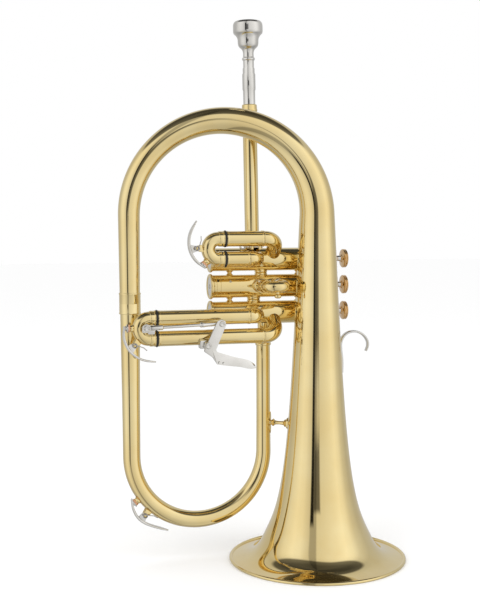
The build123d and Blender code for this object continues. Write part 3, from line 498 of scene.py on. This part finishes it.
joins = []
for upper, x, radius in ((0, -41.4, 4.9), (1, -48.0, 5.1)):
    middle = (valve_z[upper] + valve_z[upper + 1]) / 2
    bead = ((-3.0, radius), (-2.6, radius), (-2.2, radius + 0.45), (-1.2, radius + 0.75),
            (-0.35, radius + 0.45), (0, radius + 0.1), (0.35, radius + 0.45), (1.2, radius + 0.75),
            (2.2, radius + 0.45), (2.6, radius), (3.0, radius))
    joins.append(turned(((-3.0, 0),) + bead + ((3.0, 0),), (x, valve_y, middle), up, 48))
fit(together(*joins), "knuckles", ("valve_knuckles",))
joins = []
for upper in (0, 1):
    for x in (-69.5, -8.0):
        middle = (valve_z[upper] + valve_z[upper + 1]) / 2
        post = ((-2.2, 0), (-2.2, 3.4), (-1.5, 3.1), (-0.9, 2.3), (-0.3, 1.9), (0.3, 1.9), (0.9, 2.3),
                (1.5, 3.1), (2.2, 3.4), (2.2, 0))
        joins.append(turned(post, (x, valve_y, middle), up, 32))
fit(together(*joins), "posts", ("valve_posts",))
stop_screw = turned(((9.2, 0), (9.2, 1.1), (10.1, 1.1), (10.35, 0.8), (10.35, 0)), (-70.7, valve_y, 0),
                    (0, -1, 0.52), 20)
stop_screw.transform(Matrix.Translation((0, 0, valve_z[1])))
fit(stop_screw, "guide_screw", finish=steel)
for node in ("bell_saddles", "slide_saddles"):
    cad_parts[node].data.materials[0] = lacquered_brass

# ---------------------------------------------------------------- pistons, stems and buttons
# Each nickel-plated piston rides on a coil spring. Its silvered stem comes out through the top
# cap to a broad button of a redder brass, turned with a bead under a slightly dished top.
silver = metal("silver_plate", (0.84, 0.82, 0.78), (0.72, 0.70, 0.655), 0.05, 0.14, 0.0, 40.0, 1100.0, 0.006)
bronze = metal("bronze_lacquer", (0.84, 0.56, 0.27), (0.70, 0.42, 0.17), 0.06, 0.16, 0.6, 90.0)
for number, z in enumerate(valve_z, 1):
    axle = (0, valve_y, z)
    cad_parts[f"piston_{number}"].data.materials[0] = nickel
    stem = ((-2.0, 0), (-2.0, 5.0), (0.0, 5.0), (0.0, 2.5), (28.4, 2.5), (28.8, 2.3), (29.2, 2.5),
            (31.55, 2.5), (31.55, 0))
    fit(turned(stem, axle, across, 40), f"stem_{number}", (f"valve_stem_{number}",), body=f"valve_{number}",
        finish=silver, edge=0.08)
    button = ((31.6, 0), (31.6, 3.1), (31.9, 3.5), (32.5, 3.6), (32.8, 4.2), (33.0, 6.6), (33.3, 7.7),
              (33.8, 8.15), (34.4, 8.2), (34.9, 8.0), (35.2, 7.7), (35.5, 8.0), (35.9, 8.15), (36.4, 8.0),
              (36.8, 7.5), (37.0, 6.9), (36.9, 6.4), (36.6, 5.9), (36.45, 3.0), (36.4, 0))
    fit(turned(button, axle, across, 72), f"button_{number}", (f"finger_button_{number}",),
        body=f"valve_{number}", finish=bronze)

# Each spring stands on the bottom cap and closes up as its piston comes down on it.
spring_turns, spring_wire, valve_stroke = 6, 0.45, 16.0
for number, z in enumerate(valve_z, 1):
    low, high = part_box(f"valve_spring_{number}")
    foot_x, top_x = low[0] / mm + spring_wire, high[0] / mm - spring_wire
    coil_radius = (high[2] - low[2]) / mm / 2 - spring_wire
    count = spring_turns * 28
    coil = []
    for step in range(count + 1):
        angle = 2 * math.pi * spring_turns * step / count
        rise = (top_x - foot_x) / (2 * math.pi * spring_turns * coil_radius)
        place = Vector((foot_x + (top_x - foot_x) * step / count, valve_y + coil_radius * math.cos(angle),
                        z + coil_radius * math.sin(angle)))
        coil.append((place, Vector((rise, -math.sin(angle), math.cos(angle))), spring_wire))
    spring = fit(swept(coil, across, 10, spring_wire - 0.02), f"spring_{number}", (f"valve_spring_{number}",),
                 finish=steel)
    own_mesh(spring)

# ---------------------------------------------------------------- first and third slides
# Tuning slides of drawn tube: two outer legs brazed to each casing, and a crook whose thinner
# legs run inside them. A black rubber ring on each inner leg cushions the crook when it closes.
slide_y = 11.0
leg_radius, leg_gap = 6.45, 17.0
short_elbow_x, long_elbow_x = -48.5, -32.4
inner_radius = 5.85
crooks = {}


def grained(name, kind, height, stops, roughness, relief=0.0, **grain):
    """Dull material in two tones of a fine grain, with the grain raised by relief in millimetres."""
    made = blank_material(name, Roughness=roughness)
    tree = made.node_tree
    shader = tree.nodes["Principled BSDF"]
    where = add_node(tree, "ShaderNodeTexCoord", (-6, 0)).outputs["Object"]
    texture = add_node(tree, kind, (-4, 0), Vector=where, **grain).outputs[height]
    tree.links.new(ramp_node(tree, (-2, 0), texture, stops), shader.inputs["Base Color"])
    if relief:
        bump = add_node(tree, "ShaderNodeBump", (-2, 3), Height=texture, Strength=0.3, Distance=relief * mm)
        tree.links.new(bump.outputs[0], shader.inputs["Normal"])
    return made


rubber = grained("black_rubber", "ShaderNodeTexNoise", "Fac", ((0.3, 0.008), (0.7, 0.022)), 0.48, relief=0.02,
                 Scale=1800.0, Detail=2.0)


def bent(corners, bend, radius, step=5.0):
    """Stations along straight runs joined by round bends."""
    points = [Vector(corner) for corner in corners]
    stations = [(points[0], points[1] - points[0], radius)]
    for before, corner, after in zip(points, points[1:], points[2:]):
        run_in, run_out = (corner - before).normalized(), (after - corner).normalized()
        angle = run_in.angle(run_out)
        reach = bend * math.tan(angle / 2)
        hub = corner - run_in * reach + (run_out - run_in * run_out.dot(run_in)).normalized() * bend
        spoke = corner - run_in * reach - hub
        count = max(2, round(math.degrees(angle) / step))
        for place in range(count + 1):
            swing = Matrix.Rotation(angle * place / count, 3, run_in.cross(run_out))
            stations.append((hub + swing @ spoke, swing @ run_in, radius))
    stations.append((points[-1], points[-1] - points[-2], radius))
    return stations


def saddle_end(skin, direction, casing_z, reach=9.3):
    """Shapes the open end that meets a casing to the casing's round."""
    direction = Vector(direction).normalized()
    axis = Vector((0, valve_y, casing_z))
    furthest = max(vert.co.dot(direction) for vert in skin.verts)
    for vert in skin.verts:
        if vert.co.dot(direction) > furthest - 0.01:
            offset = Vector((0, vert.co.y, vert.co.z)) - axis
            lateral = offset - direction * offset.dot(direction)
            vert.co -= direction * (offset.dot(direction) + math.sqrt(reach ** 2 - lateral.length_squared))
    return skin


def round_section(along, radius, half_width, half_height, count):
    """Outline of a ring of round wire or rubber."""
    return [(along + half_width * math.cos(angle), radius + half_height * math.sin(angle))
            for angle in np.linspace(0, 2 * math.pi, count + 1)[:-1]]


def leg_band(x, level):
    """Thin ferrule round a slide's outer leg."""
    return turned(((0, 6.3), (0, 6.6), (0.3, 6.85), (0.9, 6.85), (1.2, 6.7), (1.5, 6.85), (2.1, 6.85),
                   (2.4, 6.6), (2.4, 6.3)), (x, slide_y, level), across, 56, ring=True)


# Number, height of its casing, height of the crook's middle, end of its outer legs, length of inner leg.
slides = ((1, valve_z[0], 268.0, -77.0, 20.0), (3, valve_z[2], 202.4, -136.2, 75.0))
for number, casing_z, middle, end_x, reach in slides:
    levels = sorted((middle - leg_gap / 2, middle + leg_gap / 2), key=lambda level: abs(level - casing_z))
    near, far = levels
    short = swept(bent(((end_x, slide_y, near), (short_elbow_x, slide_y, near),
                        (short_elbow_x, valve_y - 5, near)), 7.2, leg_radius), up, 56)
    saddle_end(short, (0, 1, 0), casing_z)
    inward = Vector((0, valve_y - slide_y, casing_z - far)).normalized()
    corner = Vector((long_elbow_x, slide_y, far))
    long = swept(bent(((end_x, slide_y, far), corner, corner + inward * 18), 10.5, leg_radius),
                 across.cross(inward), 56)
    saddle_end(long, inward, casing_z)
    fit(together(short, long), f"slide_{number}_legs", (f"slide_{number}_outer_legs",))
    bands = [leg_band(short_elbow_x - 10.5, near), leg_band(long_elbow_x - 14.0, far)]
    bands += [turned(((0, 6.3), (0, 6.5), (0.2, 6.62), (1.6, 6.62), (1.8, 6.5), (1.8, 6.3)),
                     (end_x, slide_y, level), across, 56, ring=True) for level in levels]
    fit(together(*bands), f"slide_{number}_leg_bands")
    bow_x = end_x - 7.0
    crooks[number] = (bow_x, middle)
    top_leg, bottom_leg, turn_x = middle + leg_gap / 2, middle - leg_gap / 2, bow_x - leg_gap / 2
    route = ((end_x + reach, slide_y, top_leg), (turn_x, slide_y, top_leg), (turn_x, slide_y, bottom_leg),
             (end_x + reach, slide_y, bottom_leg))
    crook = swept(bent(route, leg_gap / 2, inner_radius), (0, 1, 0), 56)
    fit(crook, f"slide_{number}_crook", (f"slide_{number}_bow",), body=f"slide_{number}")
    collars = []
    rings = []
    for level in levels:
        collars.append(turned(((-7.0, 5.8), (-7.0, 5.95), (-6.7, 6.3), (-6.2, 6.45), (-3.4, 6.45),
                               (-3.1, 6.3), (-2.95, 6.45), (-2.6, 6.72), (-2.1, 6.72), (-1.85, 6.5),
                               (-1.85, 5.8)), (end_x, slide_y, level), across, 56, ring=True))
        rings.append(turned(round_section(-0.92, 6.38, 0.82, 0.8, 16), (end_x, slide_y, level), across, 56,
                            ring=True))
    fit(together(*collars), f"slide_{number}_collars", body=f"slide_{number}")
    fit(together(*rings), f"slide_{number}_cushions", (f"slide_{number}_rings",), body=f"slide_{number}",
        finish=rubber)

# ---------------------------------------------------------------- second slide
# The second valve's slide is so short that its crook is a single oval bead of tube, pulled
# straight out by a small knob. Ringed legs stand on the casing with a pointed flange.
slide_2_x = (-45.5, -30.5)
slide_2_z = 236.4
slide_2_middle = sum(slide_2_x) / 2
forward = Vector((0, -1, 0))
legs = []
for x in slide_2_x:
    legs.append(turned(((-21.6, 4.6), (-21.6, 5.75), (-19.6, 5.75), (-19.2, 6.15), (-18.2, 6.35),
                        (-17.4, 6.15), (-17.1, 5.8), (-16.8, 6.1), (-16.0, 6.3), (-15.3, 6.1), (-15.0, 5.75),
                        (-14.6, 5.9), (-13.9, 6.0), (-13.3, 5.8), (-13.0, 5.3), (-5.2, 5.3), (-4.9, 5.6),
                        (-3.3, 5.65), (-3.0, 5.5), (-3.0, 4.95), (-12, 4.85)), (x, 0, slide_2_z), forward, 56,
                       ring=True))
point = ((-15.2, 0), (-10.6, -2.0), (-7.4, -5.6), (0, -8.4), (7.4, -5.6), (9.0, 0), (7.4, 5.6), (0, 8.4),
         (-7.4, 5.6), (-10.6, 2.0))
legs.append(wrapped_plate(point, (slide_2_x[0], valve_y, valve_z[1]), across, forward, 9.9, 0.6))
fit(together(*legs), "slide_2_legs", ("slide_2_outer_legs",))
route = ((slide_2_x[0], 16.5, slide_2_z), (slide_2_x[0], -10.5, slide_2_z), (slide_2_x[1], -10.5, slide_2_z),
         (slide_2_x[1], 16.5, slide_2_z))
oval = swept(bent(route, 7.499, 4.75), up, 56)
fit(oval, "slide_2_crook", ("slide_2_bow",), body="slide_2")
trim = [turned(((-2.7, 4.7), (-2.7, 5.4), (-2.3, 5.6), (-0.9, 5.65), (0.4, 5.6), (0.9, 5.3), (2.6, 5.25),
                (3.0, 4.95), (3.0, 4.7)), (x, 0, slide_2_z), forward, 56, ring=True) for x in slide_2_x]
trim.append(turned(((0, 0), (0, 1.5), (1.5, 1.4), (1.9, 1.9), (2.3, 2.6), (3.2, 3.0), (4.0, 2.9), (4.7, 2.4),
                    (5.2, 1.4), (5.3, 0)), (slide_2_middle, -10.5, slide_2_z - 4.5), -up, 40))
fit(together(*trim), "slide_2_trim", body="slide_2")

# ---------------------------------------------------------------- mouthpipe and mouthpiece
# The mouthpipe slides in a split sleeve on the first valve and is locked by a ring-headed screw.
# Its receiver takes a silver-plated mouthpiece, turned from solid brass rod.
lean = math.radians(0.95)
pipe_axis = Vector((-math.sin(lean), 0, math.cos(lean)))
pipe_foot = Vector((-49.0, valve_y, 268.0))
receiver_top = 123.0
fit(turned(((0.6, 5.3), (0.6, 6.1), (104.5, 6.1), (104.5, 5.3)), pipe_foot, pipe_axis, 56, ring=True),
    "mouthpipe_tube", ("mouthpipe",), body="mouthpipe")
receiver = ((23.0, 6.12), (23.0, 6.4), (22.6, 6.8), (22.0, 7.0), (21.4, 6.8), (21.0, 6.6), (20.6, 6.8),
            (20.1, 6.85), (19.7, 6.5), (19.3, 6.35), (6.2, 6.35), (5.8, 6.6), (5.2, 6.8), (4.4, 6.8),
            (3.9, 6.55), (0.6, 6.4), (0.2, 6.2), (0.0, 5.9), (0.0, 5.25), (17.0, 5.25))
fit(turned([(receiver_top - below, radius) for below, radius in receiver], pipe_foot, pipe_axis, 64,
           ring=True), "receiver", ("mouthpiece_receiver",), body="mouthpipe")
sleeve = [turned(((0.4, 6.15), (0.4, 7.2), (1.2, 7.2), (1.6, 7.7), (2.4, 7.85), (3.0, 7.7), (3.4, 7.2),
                  (12.6, 7.2), (13.0, 7.6), (13.7, 7.75), (14.4, 7.6), (14.8, 7.2), (14.8, 6.15)), pipe_foot,
                 pipe_axis, 64, ring=True)]
for x in (-52.3, -45.5):
    lug = bmesh.new()
    lug_block = Matrix.Translation((x, 20.3, 272.5)) @ Matrix.Diagonal((2.6, 6.4, 5.6, 1))
    bmesh.ops.create_cube(lug, size=1.0, matrix=lug_block)
    bmesh.ops.bevel(lug, geom=lug.edges[:], offset=0.7, affect="EDGES", segments=3, profile=0.5, material=-1)
    lug.transform(Matrix.Translation((0, 0, -2.9)))
    sleeve.append(lug)
fit(together(*sleeve), "pipe_sleeve", ("mouthpipe_sleeve",))
screw_at = (0, 18.8, 269.6)
screw = [turned(((-58.2, 0), (-58.0, 1.5), (-57.6, 1.9), (-55.8, 1.9), (-55.2, 1.6), (-54.6, 2.2),
                 (-53.7, 2.2), (-53.7, 1.25), (-43.0, 1.25), (-43.0, 0)), screw_at, across, 32)]
screw.append(turned(round_section(0.0, 2.1, 0.82, 0.82, 12), (-60.4, 18.8, 269.6), (0, 1, 0), 40, ring=True))
fit(together(*screw), "ring_screw", ("sleeve_screw",), finish=silver)
stem_line = [(0.0, -17.0), (4.6, -17.0), (4.7, -16.6), (5.12, 0.3), (5.15, 11.4), (5.6, 13.0), (5.62, 25.5),
             (5.1, 26.6), (5.1, 30.4), (4.6, 31.4), (4.6, 37.0), (5.1, 37.5), (5.45, 38.1), (5.5, 38.6),
             (5.4, 39.2), (5.0, 39.7), (4.6, 40.1)]
cup_line = smooth_line(((4.5, 43.4), (5.4, 46.4), (7.9, 48.9), (8.85, 53.0), (9.1, 55.6), (10.8, 58.6),
                        (12.2, 59.9)), 26)
rim_line = smooth_line(((12.62, 61.2), (12.65, 62.0), (12.65, 65.8), (12.6, 66.8), (11.9, 69.0),
                        (10.3, 70.15), (8.9, 69.3), (8.2, 67.4)), 26)
bowl_line = smooth_line(((7.8, 64.0), (7.3, 60.0), (5.2, 53.0), (2.2, 46.0)), 12)
throat = [(2.2, 44.0), (2.2, 42.0), (0.0, 42.0)]
fit(turned([(z, r) for r, z in stem_line + cup_line + rim_line + bowl_line + throat],
           pipe_foot + pipe_axis * receiver_top, pipe_axis, 96), "mouthpiece_cup", ("mouthpiece",),
    body="mouthpiece", finish=silver)

# ---------------------------------------------------------------- little finger hook
# A strap of nickel silver, silver plated, soldered down its straight stem to the bell and bent
# over into an open hook for the little finger.


def strap(spine, across_dir, widths, thicks):
    """Strap along a spine; its section is a rounded bar of the given width and thickness."""
    across_dir = Vector(across_dir)
    skin = bmesh.new()
    rows = []
    points = [Vector(point) for point in spine]
    for step, place in enumerate(points):
        ahead_dir = (points[min(step + 1, len(points) - 1)] - points[max(step - 1, 0)]).normalized()
        face = ahead_dir.cross(across_dir).normalized()
        part = step / (len(points) - 1)
        half_w = float(np.interp(part, np.linspace(0, 1, len(widths)), widths)) / 2
        half_t = float(np.interp(part, np.linspace(0, 1, len(thicks)), thicks)) / 2
        before = len(skin.edges)
        made = bmesh.ops.create_circle(skin, segments=20, radius=1.0)
        for vert in made["verts"]:
            x, y = vert.co.x, vert.co.y
            x = math.copysign(abs(x) ** 0.35, x)
            y = math.copysign(abs(y) ** 0.75, y)
            vert.co = place + across_dir * x * half_w + face * y * half_t
        skin.edges.ensure_lookup_table()
        rows.append(skin.edges[before:])
    for first, second in zip(rows, rows[1:]):
        bmesh.ops.bridge_loops(skin, edges=first + second)
    for end in (rows[0], rows[-1]):
        bmesh.ops.holes_fill(skin, edges=end, sides=0)
    face_outward(skin)
    return skin


hook_line = smooth_line(((22.4, 161.0), (22.0, 176.0), (21.9, 189.0), (26.0, 194.2), (34.0, 196.2),
                         (42.2, 192.6), (46.2, 184.6), (44.4, 178.9)), 60)
fit(strap([(x, 0, z) for x, z in hook_line], (0, 1, 0), (5.0, 5.4, 5.6, 5.6, 5.2, 4.2),
          (1.8, 1.9, 1.9, 1.9, 1.8, 1.5)), "little_finger_hook", ("finger_hook",),
    finish=silver)

# ---------------------------------------------------------------- thumb trigger of the third slide
# A pivoted silver-plated lever: the thumb presses its riveted plate, and its arm draws a thin rod
# that pushes the third slide out. The pivot post is brazed under the slide's lower leg.
trigger_pivot, trigger_pin = (-97.0, 188.5), (-85.0, 206.2)
rod_pivot, rod_y, arm_y = (-147.8, 203.9), -2.4, -4.9


def slab(outline, back, depth, soft=0.3):
    """Flat piece of an (x, z) outline, from y = back by its depth forward, with soft edges."""
    skin = bmesh.new()
    face = skin.faces.new([skin.verts.new((x, back, z)) for x, z in outline])
    raised = bmesh.ops.extrude_face_region(skin, geom=[face])
    for vert in raised["geom"]:
        if isinstance(vert, bmesh.types.BMVert):
            vert.co.y -= depth
    face_outward(skin)
    bmesh.ops.bevel(skin, geom=skin.edges[:], offset=soft, affect="EDGES", segments=2, profile=0.5,
                    material=-1)
    return skin


def at_y(place, y=0):
    """Point of an (x, z) place at a given y."""
    return (place[0], y, place[1])


def rounded(corners, radius, steps=5):
    """Outline with its corners rounded."""
    outline = []
    count = len(corners)
    for place in range(count):
        corner = Vector(corners[place])
        before = Vector(corners[place - 1]) - corner
        after = Vector(corners[(place + 1) % count]) - corner
        shorter = min(before.length, after.length)
        before, after = before.normalized(), after.normalized()
        reach = min(radius / math.tan(before.angle(after) / 2), 0.45 * shorter)
        start, end = corner + before * reach, corner + after * reach
        for step in range(steps + 1):
            t = step / steps
            outline.append(tuple(start * (1 - t) ** 2 + corner * 2 * t * (1 - t) + end * t ** 2))
    return outline


def slotted_head(place, front, radius, height=1.2):
    """Head of a screw that faces forward, with its slot sunk across it."""
    head = turned(((0, 0), (0, radius), (0.55 * height, radius), (0.9 * height, 0.86 * radius),
                   (height, 0.62 * radius), (height, 0)), at_y(place, front), forward, 32)
    for side in (0.3, -0.3):
        bmesh.ops.bisect_plane(head, geom=head.verts[:] + head.edges[:] + head.faces[:],
                               plane_co=(0, 0, place[1] + side), plane_no=(0, 0, 1))
    for vert in head.verts:
        if abs(vert.co.z - place[1]) < 0.31 and vert.co.y < front - 0.75 * height:
            vert.co.y += 0.45 * height
    return head


post_block = slab(rounded([(-102.2, 185.0), (-90.8, 185.0), (-90.8, 192.0), (-102.2, 192.0)], 1.6), 8.4, 6.4,
                  0.5)
post_pin = turned(((-3.0, 1.5), (6.7, 1.5), (6.7, 2.5), (6.9, 2.7)), at_y(trigger_pivot), forward, 40)
fit(together(post_block, post_pin, slotted_head(trigger_pivot, -6.7, 2.7, 1.5)), "trigger_post_piece",
    ("trigger_post",), finish=silver)
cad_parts["trigger_spring"].data.materials[0] = steel

arm = slab(rounded([(-99.8, 186.3), (-89.3, 208.2), (-86.0, 209.9), (-82.2, 208.6), (-81.5, 205.2),
                    (-90.3, 184.6), (-84.6, 176.4), (-84.6, 172.4), (-89.4, 172.6), (-93.4, 178.6),
                    (-100.6, 183.6)], 1.4), arm_y, 1.5, 0.35)
hub = turned(((3.05, 1.56), (3.05, 2.9), (3.3, 3.1), (6.2, 3.1), (6.45, 2.9), (6.45, 1.56)),
             at_y(trigger_pivot), forward, 40, ring=True)
pin = turned(((0.9, 0), (0.9, 1.1), (6.4, 1.1), (6.4, 2.2), (6.6, 2.4)), at_y(trigger_pin), forward, 32)
thumb = bmesh.new()
ridge = smooth_line(((-93.4, 184.4), (-82.0, 180.6), (-70.0, 177.2), (-60.5, 174.2), (-57.4, 171.6)), 25)
brink = smooth_line(((-90.0, 172.9), (-80.0, 171.3), (-68.0, 169.6), (-59.0, 168.3), (-56.5, 169.0)), 25)
grid = []
for (ax, az), (bx, bz) in zip(ridge, brink):
    grid.append([])
    for step in range(9):
        t = step / 8
        lean_out = -6.4 - 2.2 * t - 0.3 * math.sin(math.pi * t)
        grid[-1].append(thumb.verts.new((ax + (bx - ax) * t, lean_out, az + (bz - az) * t)))
for row, following in zip(grid, grid[1:]):
    for step in range(8):
        thumb.faces.new((row[step], row[step + 1], following[step + 1], following[step]))
face_outward(thumb)
bmesh.ops.solidify(thumb, geom=thumb.faces[:], thickness=0.9)
face_outward(thumb)
rivets = [turned(((0, 0), (0, 1.0), (0.35, 0.9), (0.6, 0.5), (0.65, 0)), place, (0, -0.94, 0.34), 20)
          for place in ((-88.4, -8.5, 174.4), (-84.7, -8.5, 173.8))]
fit(together(arm, hub, pin, slotted_head(trigger_pin, -6.6, 2.4, 1.3), thumb, *rivets), "trigger_piece",
    ("trigger_lever",), body="trigger", finish=silver)

rod_dir = Vector((trigger_pin[0] - rod_pivot[0], 0, trigger_pin[1] - rod_pivot[1]))
rod_length = rod_dir.length
rod = turned(((3.2, 0), (3.2, 1.9), (3.5, 2.1), (13.2, 2.1), (13.5, 1.9), (14.1, 1.25), (44.6, 1.25),
              (45.0, 1.9), (45.4, 2.1), (46.6, 2.1), (46.9, 1.75), (47.3, 2.1), (48.6, 2.1), (49.0, 1.8),
              (rod_length - 3.0, 1.7), (rod_length - 3.0, 0)), at_y(rod_pivot, rod_y), rod_dir, 36)
eyes = []
for place, hole in ((rod_pivot, 1.26), (trigger_pin, 2.16)):
    eyes.append(turned(((-1.05, hole), (-1.05, 3.3), (-0.85, 3.55), (0.85, 3.55), (1.05, 3.3), (1.05, hole)),
                       at_y(place, rod_y), forward, 40, ring=True))
fit(together(rod, *eyes), "link_rod_piece", ("slide_3_link_rod",), body="link_rod",
    finish=silver)

bracket_foot = slab(rounded([(-146.2, 198.5), (-140.3, 198.5), (-140.3, 206.3), (-146.2, 206.3)], 0.9), 9.0,
                    8.2, 0.3)
bracket_plate = slab(rounded([(-151.2, 199.9), (-140.4, 199.9), (-140.4, 206.1), (-151.2, 206.1)], 1.6), 1.6,
                     1.6, 0.3)
bracket_pin = turned(((0.0, 0), (0.0, 1.2), (3.6, 1.2), (3.6, 2.3), (3.8, 2.5)), at_y(rod_pivot), forward, 32)
fit(together(bracket_foot, bracket_plate, bracket_pin, slotted_head(rod_pivot, -3.8, 2.5, 1.3)),
    "bracket_piece", ("slide_3_bracket",), body="slide_3", finish=silver)

# ---------------------------------------------------------------- water keys
# Each key is a sprung silver lever on a hinge post, with a cork pad that shuts a short nozzle on
# the outside of a bow. Pressing the long end lets the water out.
crook_skin = leg_gap / 2 + inner_radius
lower_skin = lower_radius + 7.3


def on_round(centre, radius, angle, reach=0.0):
    """Point of a bow's outside, and reach beyond it."""
    return (centre[0] + (radius + reach) * math.cos(math.radians(angle)),
            centre[1] + (radius + reach) * math.sin(math.radians(angle)))


lower_round = (lower_centre.x, lower_z)
# Number, body of its post, centre and radius of the bow it is on, y, angle of the hinge and its height,
# angle of the nozzle, angle of the lever and its hand, thumb end, and height of the cup's boss.
water_keys = (
    (1, "slide_1", crooks[1], crook_skin, slide_y, 178, 4.2, 227, 100.7, 1, (22.5, -4.5), 1.5),
    (3, "slide_3", crooks[3], crook_skin, slide_y, 227, 4.2, 178, -50.0, -1, (22.5, -4.5), 3.4),
    (2, "horn", lower_round, lower_skin, valve_y, 227, 4.4, 215.5, -39.0, -1, (25.0, -1.1), 1.5))
cork_tones = ((0.1, (0.30, 0.13, 0.06)), (0.6, (0.66, 0.38, 0.22)))
cork = grained("cork", "ShaderNodeTexVoronoi", "Distance", cork_tones, 0.85, Scale=1400.0)
nozzle_length, cork_thickness, key_wire = 2.0, 1.7, 0.42
for (number, owner, centre, skin_radius, y, hinge_angle, rise, nozzle_angle,
     tilt, hand, thumb_at, boss) in water_keys:
    u_dir = Vector(at_y(on_round((0, 0), 1, tilt)))
    v_dir = Vector((-u_dir.z * hand, 0, u_dir.x * hand))
    hinge = Vector(at_y(on_round(centre, skin_radius, hinge_angle, rise), y))
    base = Vector(at_y(on_round(centre, skin_radius, hinge_angle, -0.6)))
    mouth = at_y(on_round(centre, skin_radius, nozzle_angle), y)
    drain = Vector(at_y(on_round((0, 0), 1, nozzle_angle)))
    lever_line = smooth_line(((-17.6, -4.3), (-11.0, 1.9), (1.0, 5.8), (12.0, 3.6), thumb_at), 40)
    spine = [hinge + u_dir * u + v_dir * v for u, v in lever_line]
    blade = strap(spine, (0, 1, 0), (4.0, 5.0, 4.2, 3.6, 4.0, 5.2, 6.6, 6.4, 3.4),
                  (1.4, 1.8, 2.2, 2.4, 2.3, 2.0, 1.8, 1.6, 1.1))
    lug_line = rounded([(-2.6, 1.0), (-3.4, 5.4), (4.4, 5.4), (2.6, 1.0), (1.6, -1.8), (-1.6, -1.8)], 1.2)
    lug_line = [hinge + u_dir * u + v_dir * v for u, v in lug_line]
    lug = slab([(place.x, place.z) for place in lug_line], y + 1.3, 2.6, 0.25)
    top = nozzle_length + cork_thickness + 0.05
    cup = turned(((top, 0), (top, 3.6), (top + 0.5, 3.65), (top + 0.9, 3.4), (top + 1.3, 2.2),
                  (top + boss, 1.7), (top + boss, 0)), mouth, drain, 40)
    fit(together(blade, lug, cup), f"water_key_{number}_piece", (f"water_key_{number}",),
        body=f"water_key_{number}", finish=silver)
    pad = turned(((2.05, 0), (2.05, 2.9), (2.2, 3.1), (3.5, 3.1), (3.7, 2.95), (3.7, 0)), mouth, drain, 36)
    fit(pad, f"cork_{number}", (f"key_cork_{number}",), body=f"water_key_{number}", finish=cork)
    spout = turned(((-1.4, 0), (-1.4, 2.9), (-0.2, 3.3), (0.2, 3.35), (0.6, 3.0), (1.5, 2.7), (1.8, 2.85),
                    (2.0, 2.6), (2.0, 1.5), (0.2, 1.4), (0.2, 0)), mouth, drain, 36)
    cheeks = []
    for side in (-1, 1):
        corners = [base - u_dir * 3.4, base + u_dir * 3.4,
                   hinge + u_dir * 1.9 + v_dir * 0.4, hinge + u_dir * 0.9 + v_dir * 1.8,
                   hinge - u_dir * 0.9 + v_dir * 1.8, hinge - u_dir * 1.9 + v_dir * 0.4]
        cheeks.append(slab(rounded([(corner.x, corner.z) for corner in corners], 1.0), y + side * 2.2 + 0.7,
                           1.4, 0.3))
    cheeks.append(turned(((-3.5, 0), (-3.5, 1.2), (-3.1, 1.4), (3.1, 1.4), (3.1, 0.9), (3.2, 0.9), (3.2, 1.4),
                          (3.6, 1.3), (3.8, 0.9), (3.8, 0)), hinge, forward, 28))
    fit(together(spout, *cheeks), f"water_key_mount_{number}_piece", (f"water_key_mount_{number}",),
        body=owner)
    coil = []
    for step in range(31):
        angle = step * math.pi / 6
        spoke = math.cos(angle) * u_dir + math.sin(angle) * v_dir
        coil.append(hinge + Vector((0, -3.3 - 0.5 * step / 12, 0)) + 1.9 * spoke)
    tail_wire = [hinge + u_dir * u + v_dir * v + Vector((0, -4.7, 0))
                 for u, v in ((2.6, -2.4), (6.0, -4.3), (9.6, -4.8))]
    route = coil + tail_wire
    stations = [(place, after - before, key_wire)
                for before, place, after in zip(route[:1] + route, route, route[1:] + route[-1:])]
    wire = swept(stations, (0, 1, 0.01), 12, key_wire - 0.01)
    fit(wire, f"water_key_spring_{number}", body=owner, finish=steel)
